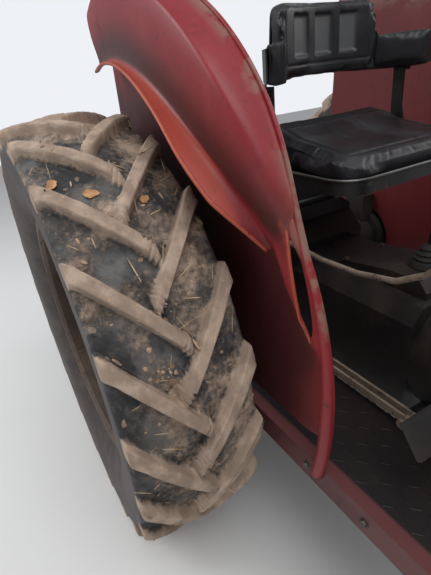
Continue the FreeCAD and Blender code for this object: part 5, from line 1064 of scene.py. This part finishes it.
def front_section():
    """(across, radius) over half of the front tyre: a middle rib, a groove, a shoulder rib, the wall."""
    rib = [
        (0.0, 0.3678), (0.006, 0.3678), (0.0115, 0.3672), (0.0140, 0.3655), (0.0155, 0.3590),
        (0.0175, 0.3545), (0.0230, 0.3530), (0.0290, 0.3530), (0.0330, 0.3550), (0.0350, 0.3600),
        (0.0370, 0.3632), (0.0410, 0.3638), (0.0480, 0.3628), (0.0560, 0.3606), (0.0610, 0.3570),
    ]
    wall = bezier((rib[-1], (0.0760, 0.3440), (0.0822, 0.3250), (0.0822, 0.3000)), 9)
    lower = bezier((wall[-1], (0.0815, 0.2650), (0.0660, 0.2360), (0.0515, 0.2120)), 9)
    return np.concatenate([rib, wall, lower, [(0.0500, 0.2045)]])


for side, hand in SIDES:
    dress(rim_rust, "rear_rim_" + side, "front_rim_" + side)
    outward = (0, hand, 0)
    for name, out, circle, count, start, radius, height in REAR_NUTS:
        nuts = round_wheel(rear_axle(side), hand * out, circle, count, start)
        studs(name + side, nuts, outward, radius, height, nut_steel, "rear_wheel_" + side)
    half = front_section()
    across, radius = np.concatenate([half[:0:-1] * (-1, 1), half]).T
    turn = np.linspace(0, 2 * math.pi, FRONT_TURNS, endpoint=False)[:, None]
    knock = 0.0012 * sine_noise(place(radius * np.cos(turn), across, radius * np.sin(turn)), 90.0, 9) - 0.0012
    reach = np.minimum(radius + np.where(radius > 0.25, knock, 0), FRONT_RADIUS)
    hub = np.mean(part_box("front_tyre_" + side), axis=0)
    points = place(reach * np.cos(turn), across, reach * np.sin(turn)) + hub
    wheel = "front_wheel_" + side
    front_tyre = mesh_from(
        "ribbed_tyre_front_" + side, points, grid_faces(*reach.shape), rubber, wheel, "tread_rubber",
        "front_tyre_" + side,
    )
    on_rib = 0.6 * (np.abs(across) < 0.07) * (radius > 0.359)
    put_on(front_tyre, "lug", np.broadcast_to(on_rib, reach.shape))
    put_on(front_tyre, "tread", np.broadcast_to(soft_step((radius - 0.335) / 0.02), reach.shape))
    nuts = round_wheel(hub, hand * -0.0040, 0.045, 6)
    studs("front_wheel_nuts_" + side, nuts, outward, 0.0095, 0.014, nut_steel, wheel)
    cap = hub + (0, hand * 0.0279, 0)
    studs("front_hub_cap_" + side, cap, outward, 0.0175, 0.016, nut_steel, wheel, profile=DOME, corners=24)


# Drive train: iron castings in black paint that oil and field dust have covered, with rows of
# bolts along their flanges, and the final drive's trumpets out to the wheels.
COVER_TOP = 0.884
FORWARD = (1, 0, 0)
cast_black = painted(
    "oily black casting", (0.013, 0.012, 0.012), (0.024, 0.021, 0.019), rust=(0.062, 0.034, 0.023),
    grime=(0.046, 0.036, 0.028), fading=0.35, chips=0.22, amount=0.16, bump=0.9,
)
dress(
    cast_black, "gearbox", "rear_transmission", "axle_housing_right", "axle_housing_left", "front_support",
    "front_axle", "knuckle_right", "knuckle_left", "tie_rod_right", "tie_rod_left", "steering_centre_arm",
    "drawbar", "lower_link_right", "lower_link_left", "lift_arms", "engine_block",
)
case_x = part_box("rear_transmission")[0].x + 0.052
bell_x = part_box("gearbox")[1].x
cover = [(case_x + x, y, COVER_TOP - 0.0005) for x in (0.02, 0.10, 0.28, 0.36) for y in (-0.134, 0.134)]
studs("lift_cover_bolts", cover, UP, 0.010, 0.009)
lid = [(bell_x - 0.625 + 0.045 * n, y, 0.8085) for n in range(4) for y in (-0.072, 0.072)]
studs("gear_lid_bolts", lid, UP, 0.0080, 0.007)
turn = np.arange(14) * 2 * math.pi / 14
flange = place(bell_x + 0.0175, 0.198 * np.cos(turn), AXLE_Z + 0.198 * np.sin(turn))
studs("bell_bolts", flange, FORWARD, 0.010, 0.009)
for side, hand in SIDES:
    trumpet = round_wheel((AXLE_X, 0, AXLE_Z), hand * 0.2268, 0.128, 10, 0.3)
    studs("trumpet_bolts_" + side, trumpet, (0, hand, 0), 0.010, 0.010)
    foot = [(AXLE_X + x, hand * 0.4530, AXLE_Z + z) for x in (-0.026, 0.026) for z in (0.118, 0.158)]
    studs("mudguard_bolts_" + side, foot, (0, hand, 0), 0.009, 0.009, profile=DOME)


# Engine: a cast block with its head and pressed rocker cover, the pump and filters on the right,
# starter and generator on the left, a belt to the fan, and the pipes and hoses between them.
rocker_red = painted(
    "oily red cover", (0.16, 0.024, 0.022), (0.22, 0.05, 0.04), grime=(0.04, 0.03, 0.024), fading=0.4,
    rough=0.42,
)
dull_aluminium = painted(
    "dull aluminium", (0.17, 0.165, 0.155), (0.25, 0.24, 0.225), rust=(0.11, 0.09, 0.075),
    grime=(0.060, 0.050, 0.040), amount=0.32, rough=0.42, metallic=0.5,
)
hose_black = painted(
    "hose rubber", (0.014, 0.014, 0.014), (0.028, 0.027, 0.026), rust=(0.02, 0.02, 0.02), chips=0.0,
    amount=0.22, rough=0.62,
)
zinc = painted(
    "zinc pipe", (0.30, 0.28, 0.23), (0.38, 0.35, 0.28), chips=0.35, amount=0.25, rough=0.38, metallic=0.7,
)
dress(rocker_red, "rocker_cover")
dress(dull_aluminium, "injection_pump", "fuel_filter", "generator")
dress(hose_black, "starter_motor")
_, block_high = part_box("engine_block")
_, filter_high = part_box("fuel_filter")
rocker_low, rocker_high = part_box("rocker_cover")
fan_low, fan_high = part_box("cooling_fan")
radiator_low, radiator_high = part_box("radiator")
generator_low, generator_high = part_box("generator")
pump_low, pump_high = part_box("injection_pump")
SUNK = 0.0005
CRANK_Z = 0.613
FAN_Z = (fan_low.z + fan_high.z) / 2
ENGINE_FRONT = block_high.x - 0.031
HEAD_TOP = rocker_low.z
INJECTOR_X = 0.470 + 0.135 * np.arange(3)
OUTLET_X = pump_low.x + 0.125 + 0.040 * np.arange(3)
BELT_TURNS, BELT_HALF, BELT_THICK = 144, 0.0065, 0.0038
# y, z and radius of the belt's three pulleys: the fan's, the crankshaft's and the generator's
PULLEYS = np.array([
    (0, FAN_Z, 0.0560), (0, CRANK_Z, 0.0620),
    ((generator_low.y + generator_high.y) / 2 + 0.006, generator_high.z - 0.058, 0.0440),
])
# name, radius, material, points
PIPES = [
    ("upper_hose", 0.021, hose_black, (
        (ENGINE_FRONT - 0.085, 0.0, HEAD_TOP - 0.010), (ENGINE_FRONT - 0.070, 0.0, HEAD_TOP + 0.055),
        (ENGINE_FRONT + 0.010, 0.020, HEAD_TOP + 0.100),
        (radiator_low.x - 0.020, 0.060, radiator_high.z - 0.085),
        (radiator_low.x + 0.012, 0.070, radiator_high.z - 0.080))),
    ("lower_hose", 0.021, hose_black, (
        (ENGINE_FRONT - 0.030, -0.120, 0.640), (ENGINE_FRONT + 0.030, -0.150, 0.660),
        (radiator_low.x - 0.030, -0.165, 0.690), (radiator_low.x + 0.022, -0.165, 0.690))),
    ("dipstick", 0.004, zinc, (
        (0.640, -0.138, 0.640), (0.640, -0.163, 0.700), (0.632, -0.150, 0.880), (0.628, -0.148, 0.925))),
    ("fuel_line", 0.0045, zinc, (
        (filter_high.x - 0.010, -0.190, filter_high.z - 0.012),
        (filter_high.x + 0.030, -0.195, filter_high.z + 0.010),
        (pump_low.x + 0.050, -0.190, pump_high.z + 0.045),
        (pump_low.x + 0.080, -0.185, pump_high.z - 0.004))),
    ("starter_cable", 0.0055, hose_black, (
        (0.470, 0.196, 0.705), (0.440, 0.215, 0.760), (0.400, 0.190, 0.860), (0.345, 0.150, 0.900))),
]
for n in range(3):
    PIPES.append(("injector_pipe_%d" % (n + 1), 0.0036, zinc, (
        (OUTLET_X[n], -0.186, pump_high.z - 0.002), (OUTLET_X[n], -0.190, pump_high.z + 0.050),
        (INJECTOR_X[n], -0.170, HEAD_TOP - 0.040), (INJECTOR_X[n], -0.125, HEAD_TOP + 0.022),
        (INJECTOR_X[n], -0.100, HEAD_TOP - 0.002))))
for name, radius, material, path in PIPES:
    slot = "worn_steel" if material is zinc else "tread_rubber"
    piped(name, curve_through(path, 10), radius, material, slot, 10, (0.0, 0.7, 0.7))

turn = np.linspace(0, 2 * math.pi, BELT_TURNS, endpoint=False)
way = np.stack([np.cos(turn), np.sin(turn)], -1)
farthest = PULLEYS[np.argmax(way @ PULLEYS[:, :2].T + PULLEYS[:, 2], axis=1)]
belt = []
for across, out in ((-1, 1), (1, 1), (0.7, -1), (-0.7, -1)):
    y, z = (farthest[:, :2] + (farthest[:, 2:] + out * BELT_THICK) * way).T
    belt.append(place(ENGINE_FRONT + 0.018 + across * BELT_HALF, y, z))
mesh_from("fan_belt", np.stack(belt, 1), grid_faces(BELT_TURNS, 4), hose_black, "chassis", "tread_rubber")

rocker_top, head_top = rocker_high.z - SUNK, HEAD_TOP - SUNK
head = [(rocker_low.x + 0.02 + 0.085 * n, y, head_top) for n in range(6) for y in (-0.101, 0.101)]
sump = [(0.385 + 0.058 * n, hand * 0.145, 0.5485) for n in range(9) for _, hand in SIDES]
turn = np.array([0.8, 2.4, 3.9, 5.5])
fan = place(fan_high.x - 0.0046, 0.020 * np.cos(turn), FAN_Z + 0.020 * np.sin(turn))
studs("rocker_nuts", [(rocker_low.x + x, 0.0, rocker_top) for x in (0.09, 0.24, 0.39)], UP, 0.011, 0.016)
studs("head_bolts", head, UP, 0.010, 0.012)
studs("sump_bolts", sump, (0, 0, -1), 0.0075, 0.007)
studs("injector_nuts", place(INJECTOR_X, -0.100, head_top), UP, 0.012, 0.020, zinc)
studs("pump_unions", place(OUTLET_X, -0.186, pump_high.z - SUNK), UP, 0.010, 0.018, zinc)
studs("crank_nut", (block_high.x - SUNK, 0, CRANK_Z), FORWARD, 0.020, 0.012)
studs("fan_nuts", fan, FORWARD, 0.006, 0.004)
studs(
    "oil_filler_cap", (rocker_low.x + 0.315, 0.0, rocker_top), UP, 0.026, 0.034, hose_black,
    profile=((0.0, 0.75, 0), (0.45, 0.75, 0), (0.45, 1.0, 0), (0.92, 1.0, 0), (1.0, 0.9, 0), (1.0, 0.2, 0)),
    slot="black_steel", corners=28,
)


# Exhaust: a cast manifold and a tall silencer of thin sheet, both burnt to rust, with a clamp at
# the silencer's foot.
burnt_iron = painted(
    "burnt rusty iron", (0.095, 0.048, 0.032), (0.170, 0.088, 0.052), rust=(0.045, 0.030, 0.026),
    grime=(0.035, 0.030, 0.028), fading=0.6, chips=0.75, amount=0.22, rough=0.78, bump=1.0,
)
dress(burnt_iron, "exhaust_manifold", "exhaust_stack")
stack_low, stack_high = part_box("exhaust_stack")
stack_x, stack_y = (stack_low.x + stack_high.x) / 2, (stack_low.y + stack_high.y) / 2


def hoop(name, centre, axis, radius, thick, material, slot, height=1.0):
    """A ring of round section about an axis, its section stretched along the axis by height."""
    axis, side, other = square_to(axis)
    turn = np.linspace(0, 2 * math.pi, 40, endpoint=False)[:, None, None]
    cross = np.linspace(0, 2 * math.pi, 8, endpoint=False)[:, None]
    out = np.cos(turn) * side + np.sin(turn) * other
    points = centre + out * (radius + thick * np.cos(cross)) + axis * thick * height * np.sin(cross)
    mesh_from(name, points, grid_faces(40, 8), material, "chassis", slot)


for label, height, reach in (("foot", 0.030, 0.0275), ("lower", 0.452, 0.0555), ("upper", 0.858, 0.0555)):
    centre = (stack_x, stack_y, stack_low.z + height)
    hoop("silencer_seam_" + label, centre, UP, reach, 0.003, burnt_iron, "exhaust_iron", 1.8)
flanges = [(0.440 + 0.170 * n + x, 0.168, 0.921 - 0.75 * x) for n in range(3) for x in (-0.024, 0.024)]
studs("manifold_bolts", flanges, (0, 1, 0), 0.008, 0.010, burnt_iron, slot="exhaust_iron")


# Radiator: a core of thin fins on upright tubes under a brass tank painted black, with its cap.
core_black = painted(
    "dusty radiator", (0.022, 0.021, 0.020), (0.050, 0.045, 0.040), grime=(0.10, 0.083, 0.066), fading=0.4,
    chips=0.2, amount=0.28, rough=0.6,
)
fan_black = painted(
    "chipped fan paint", (0.020, 0.020, 0.020), (0.045, 0.042, 0.040), fading=0.4, amount=0.25,
)
dress(core_black, "radiator")
dress(fan_black, "cooling_fan")
fin_z = np.linspace(radiator_low.z + 0.030, radiator_high.z - 0.130, 44)
tube_y = np.linspace(-0.190, 0.190, 24)
tube_z, tube_half = (fin_z[0] + fin_z[-1]) / 2, (fin_z[-1] - fin_z[0]) / 2
for label, x in (("front", radiator_high.x - 0.0140), ("rear", radiator_low.x + 0.0140)):
    fins, tubes = place(x, 0, fin_z), place(x, tube_y, tube_z)
    blocks("radiator_fins_" + label, fins, (0.004, 0.198, 0.0012), 0.0, core_black, "radiator_core")
    blocks("radiator_tubes_" + label, tubes, (0.0025, 0.0022, tube_half), 0.0, core_black, "radiator_core")
filler = ((radiator_low.x + radiator_high.x) / 2, 0.0, radiator_high.z - 0.012)
studs(
    "radiator_cap", filler, UP, 0.030, 0.013, zinc,
    profile=((0.0, 1.0, 0), (0.5, 1.04, 0), (0.55, 0.9, 0), (0.9, 0.8, 0), (1.0, 0.5, 0), (1.0, 0.1, 0)),
    corners=24,
)


# Hood and nose: red sheet like the mudguards, sun-faded on top, with rolled lower edges, louvres
# and clips on the sides, a filler cap, and a black slatted grille with two lamps in the nose.
def sky_mask(t):
    """Shows in patches on faces that look up, where sun and dust lie."""
    up = t.node("SeparateXYZ", {0: t.node("NewGeometry", out="Normal")}, "Z")
    return t.times(t.step(up, 0.5, 0.95), t.step(t.noise(t.spot(), 5.0, 5.0), 0.35, 0.65))


hood_red = painted(
    "faded red hood", (0.240, 0.030, 0.030), (0.340, 0.068, 0.058), grime=(0.070, 0.034, 0.028), fading=0.40,
    chips=0.24, amount=0.08, rough=0.40, over=((sky_mask, (0.360, 0.090, 0.072)),),
)
dress(hood_red, "hood", "nose_surround")
dress(seat_black, "grille")
hood_low, hood_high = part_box("hood")
nose_low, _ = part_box("nose_surround")
HOOD_BACK, HOOD_NOSE = hood_low.x + 0.005, hood_high.x
CAP_X = 0.480


def hood_half(x):
    return np.interp(x, (HOOD_BACK, HOOD_NOSE), (0.262, 0.240))


def hood_top(x):
    return np.interp(x, (HOOD_BACK, HOOD_NOSE), (1.300, 1.228))


for side, hand in SIDES:
    x = np.linspace(HOOD_BACK + 0.008, HOOD_NOSE - 0.008, 24)
    line = place(x, hand * (hood_half(x) - 0.0025), hood_low.z + 0.0050)
    piped("hood_edge_" + side, line, 0.0045, hood_red, "red_sheet")
    swell = 0.0088 * np.sqrt(np.clip(1 - np.linspace(-0.98, 0.98, 9) ** 6, 0, 1))
    louvres = []
    for x in 0.470 + 0.034 * np.arange(11):
        spine = place(x, hand * (hood_half(x) - 0.0038), np.linspace(1.055, 1.165, 9))
        louvres.append(pipe_points(spine, swell, 10, FORWARD))
    ringed("hood_louvres_" + side, louvres, hood_red, "red_sheet")
    x = np.array([0.360, 1.030])
    clips = place(x, hand * (hood_half(x) - 0.0006), 1.030)
    studs("hood_clips_" + side, clips, (0, hand, 0), 0.014, 0.007, zinc, profile=DOME, corners=20)
    screws = place(nose_low.x + 0.020, hand * 0.2396, (0.72, 0.90, 1.08))
    studs("nose_screws_" + side, screws, (0, hand, 0), 0.0055, 0.004, profile=DOME)
x = np.linspace(HOOD_BACK + 0.006, HOOD_NOSE - 0.006, 30)
piped("hood_seam", place(x, 0, hood_top(x) - 0.0115), 0.0040, hood_red, "red_sheet")
studs(
    "fuel_filler_cap", (CAP_X, 0.0, hood_top(CAP_X) - 0.012), UP, 0.036, 0.026, dull_aluminium, corners=32,
    profile=(
        (0.0, 0.82, 0), (0.35, 0.82, 0), (0.35, 1.0, 0), (0.8, 1.0, 0), (0.95, 0.92, 0), (1.0, 0.7, 0),
        (1.0, 0.15, 0),
    ),
)


# Headlamps: black cans in the nose, one on each side, each with a chromed ring round a glass
# with upright flutes that bulges a little and has gathered dust.
GLASS_RADIUS, GLASS_BULGE, GLASS_DEPTH = 0.063, 0.0052, 0.004
GLASS_TURNS, GLASS_RINGS = 72, 14
lamp_glass, t = finish("fluted lamp glass")
dust = t.noise(t.spot(), 18.0)
tone = t.blend(t.step(dust, 0.45, 0.75), (0.52, 0.54, 0.54), (0.34, 0.31, 0.27))
t.skin(tone, t.spread(dust, 0.05, 0.30), plain={"Coat Weight": 0.8})
chrome = painted(
    "pitted chrome", (0.50, 0.50, 0.50), (0.42, 0.41, 0.39), fading=0.3, chips=0.25, amount=0.12, rough=0.16,
    metallic=0.95,
)
for side, hand in SIDES:
    dress(seat_black, "headlamp_" + side)
    low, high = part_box("headlamp_" + side)
    _, lamp_y, lamp_z = (low + high) / 2
    rim_x = high.x - 0.0062
    share = np.linspace(0, 1, GLASS_RINGS)[:, None]
    turn = np.linspace(0, 2 * math.pi, GLASS_TURNS, endpoint=False)
    y, z = GLASS_RADIUS * share * np.cos(turn), GLASS_RADIUS * share * np.sin(turn)
    flute = 0.0006 * np.abs(np.sin(y * 330)) * soft_step((0.97 - share) / 0.1)
    face = place(rim_x + GLASS_BULGE * (1 - share**2) + flute, lamp_y + y, lamp_z + z)
    back = place(rim_x - GLASS_DEPTH, lamp_y + y[::-1], lamp_z + z[::-1])
    rings = np.concatenate([face[1:], back[:-1]])
    middles = [(rim_x + GLASS_BULGE, lamp_y, lamp_z), (rim_x - GLASS_DEPTH, lamp_y, lamp_z)]
    front, last = rings[..., 0].size, rings[1:, :, 0].size
    faces = grid_faces(len(rings), GLASS_TURNS, wrap_rows=False).tolist()
    for a in range(GLASS_TURNS):
        b = (a + 1) % GLASS_TURNS
        faces += [(front, a, b), (front + 1, last + b, last + a)]
    points = np.concatenate([rings.reshape(-1, 3), middles])
    mesh_from("lamp_glass_" + side, points, faces, lamp_glass, "chassis", "lamp")
    hoop("lamp_bezel_" + side, (high.x - 0.0050, lamp_y, lamp_z), FORWARD, 0.0670, 0.0040, chrome, "lamp")


# Air cleaner: an oil-bath canister on the right with a pipe to a cap above the hood, two bands
# round the canister and two clamps round the pipe.
dress(seat_black, "air_cleaner")
for name, centre, radius, thick, height in (
    ("canister_band_lower", (0.929, -0.196, 0.700), 0.0502, 0.0022, 3.0),
    ("canister_band_upper", (0.929, -0.196, 0.880), 0.0502, 0.0022, 3.0),
    ("intake_clamp_lower", (0.929, -0.170, 0.945), 0.0285, 0.0020, 2.6),
    ("intake_clamp_upper", (0.929, -0.170, 1.290), 0.0285, 0.0020, 2.6),
):
    hoop(name, centre, UP, radius, thick, bolt_steel, "worn_steel", height)


# Dash and steering: a black panel with two plain dials and some knobs, a column, and a black wheel
# with a thin rim on three spokes.
DASH_FACE = hood_low.x - 0.0170
COLUMN_TILT = math.radians(32)
SLOPE = unit(np.array([-0.060, 0.0, 0.095]))
DOWN_SLOPE = unit(np.array([-0.095, 0.0, -0.060]))
CASE = ((0.0, 1.05, 0), (0.6, 1.05, 0), (1.0, 1.0, 0), (1.0, 0.88, 0), (0.62, 0.86, 0), (0.62, 0.1, 0))
KNOB = (
    (0.0, 0.45, 0), (0.35, 0.40, 0), (0.40, 0.85, 0), (0.60, 1.0, 0), (0.88, 0.95, 0), (1.0, 0.55, 0),
    (1.0, 0.1, 0),
)
dash_black = painted(
    "worn black panel", (0.016, 0.016, 0.017), (0.034, 0.033, 0.033), rust=(0.10, 0.065, 0.045), fading=0.4,
    chips=0.20, amount=0.14, rough=0.45,
)
grip_black = painted(
    "black wheel plastic", (0.012, 0.012, 0.012), (0.030, 0.030, 0.029), rust=(0.05, 0.045, 0.04),
    fading=0.45, chips=0.10, amount=0.12, rough=0.36,
)
dial_face = painted(
    "dial face", (0.010, 0.010, 0.011), (0.020, 0.020, 0.020), fading=0.3, chips=0.0, amount=0.0, rough=0.25,
)
tick_white = painted(
    "dial markings", (0.62, 0.60, 0.52), (0.50, 0.47, 0.40), fading=0.4, chips=0.0, amount=0.0,
)
dress(dash_black, "dash_panel")
dress(grip_black, "steering_wheel")


def on_dial(middle, angle, start, end, radius):
    """A thin stroke on a dial, from start to end along the direction at an angle from the dial's top."""
    way = math.sin(angle) * np.array([0, 1.0, 0]) - math.cos(angle) * DOWN_SLOPE
    return pipe_points([middle + way * start, middle + way * end], radius, 4, SLOPE)


for label, y in (("left", 0.076), ("right", -0.076)):
    middle = np.array([DASH_FACE - 0.0475, y, 1.2000])
    studs(
        "dial_case_" + label, middle - SLOPE * 0.001, SLOPE, 0.034, 0.012, dash_black, slot="black_steel",
        profile=CASE, corners=40,
    )
    hoop("dial_ring_" + label, middle + SLOPE * 0.0105, SLOPE, 0.0325, 0.0022, chrome, "worn_steel")
    studs(
        "dial_face_" + label, middle + SLOPE * 0.0060, SLOPE, 0.0290, 0.0008, dial_face, slot="black_steel",
        profile=((0.0, 1.0, 0), (1.0, 0.99, 0), (1.0, 0.1, 0)), corners=40,
    )
    strokes = []
    for n in range(11):
        inner = 0.0262 - (0.0055 if n % 5 == 0 else 0.0035)
        strokes.append(on_dial(middle + SLOPE * 0.0070, math.radians(-130 + 26 * n), inner, 0.0262, 0.0006))
    strokes.append(on_dial(middle + SLOPE * 0.0078, -0.9, -0.005, 0.020, (0.0011, 0.0005)))
    ringed("dial_marks_" + label, strokes, tick_white, "black_steel", smooth=False)
knobs = place(DASH_FACE, (-0.200, -0.160, 0.160, 0.200), 1.175)
studs(
    "dash_knobs", knobs, (-1, 0, 0), 0.012, 0.026, grip_black, slot="grip_plastic", profile=KNOB, corners=16,
)
column_way = np.array([-math.sin(COLUMN_TILT), 0.0, math.cos(COLUMN_TILT)])
wheel_hub = (AXLE_X + 0.885, 0.0, 1.262) + column_way * 0.0018
studs(
    "steering_hub_cap", wheel_hub, column_way, 0.030, 0.0075, grip_black, "steering_wheel", "grip_plastic",
    profile=((0.0, 1.0, 0), (0.35, 1.0, 0), (0.75, 0.85, 0), (1.0, 0.5, 0), (1.0, 0.1, 0)), corners=32,
)


# Controls: bare steel rods and straps browned by hand and weather, black knobs, a rubber boot on
# the gear lever and ribbed rubber pads on the pedals.
BOOT = (
    (0.0, 1.05, 0), (0.08, 1.08, 0), (0.14, 0.98, 0), (0.24, 1.0, 0), (0.32, 0.84, 0), (0.42, 0.88, 0),
    (0.52, 0.68, 0), (0.62, 0.72, 0), (0.74, 0.50, 0), (0.84, 0.54, 0), (0.96, 0.32, 0), (1.0, 0.22, 0),
)
# a pad and the ribs on it: their centres and half sizes before the pad is turned to the foot
PAD_CENTRES = [(0, 0, 0)] + [(-0.030 + 0.012 * n, 0, 0.0082) for n in range(6)]
PAD_SIZES = [(0.0365, 0.0445, 0.0072)] + [(0.0035, 0.040, 0.0022)] * 6
tan_steel = painted(
    "browned bare steel", (0.300, 0.228, 0.170), (0.400, 0.320, 0.250), rust=(0.120, 0.070, 0.045),
    grime=(0.060, 0.047, 0.038), fading=0.45, chips=0.40, amount=0.18, rough=0.46, metallic=0.15,
)
dress(tan_steel, "lift_lever", "brake_pedals", "clutch_pedal", "lift_rod_right", "lift_rod_left")
dress(seat_black, "gear_lever")
lever_low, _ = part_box("gear_lever")
gate = (lever_low.x + 0.0335, 0.0, lever_low.z + 0.0003)
studs(
    "gear_lever_boot", gate, UP, 0.037, 0.060, hose_black, slot="tread_rubber", profile=BOOT, corners=24,
    split=60,
)
for name, y in (("brake_pad_1", -0.249), ("brake_pad_2", -0.349), ("clutch_pad_1", 0.289)):
    pad = blocks(name, PAD_CENTRES, PAD_SIZES, 0.0, hose_black, "tread_rubber")
    turn = Matrix.Rotation(math.radians(-128), 4, "Y")
    pad.data.transform(Matrix.Translation((AXLE_X + 0.890, y, 0.700)) @ turn)
    pad.data.update()


# Hitch: drop-forged links and rods held by pins with nuts, and
# a splined shaft between them that drives what the tractor pulls.
# SPLINES: how far in from the shaft's end, share of the full radius, and the most it may be
SPLINES = (
    (0.0, 1.0, 1.0), (0.002, 1.0, 1.0), (0.020, 1.0, 1.0), (0.024, 0.90, 0.0144), (0.032, 0.90, 0.0144),
    (0.036, 1.0, 1.0), (0.072, 1.0, 1.0), (0.076, 0.93, 0.01488),
)
pto_low, pto_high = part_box("pto_shaft")
turn = np.linspace(0, 2 * math.pi, 144, endpoint=False)
tooth = 0.0148 + 0.0027 * soft_step((np.cos(turn * 6) + 0.25) / 0.35)
rings = []
for along, share, most in SPLINES:
    reach = np.minimum(tooth * share, most)
    z = (pto_low.z + pto_high.z) / 2 + reach * np.cos(turn)
    rings.append(place(pto_high.x - along, reach * np.sin(turn), z))
ringed("pto_splines", rings, tan_steel, "worn_steel", replaces="pto_shaft", split=35)
for side, hand in SIDES:
    studs("link_pin_nuts_" + side, (AXLE_X - 0.060, hand * 0.2760, 0.430), (0, hand, 0), 0.016, 0.014)
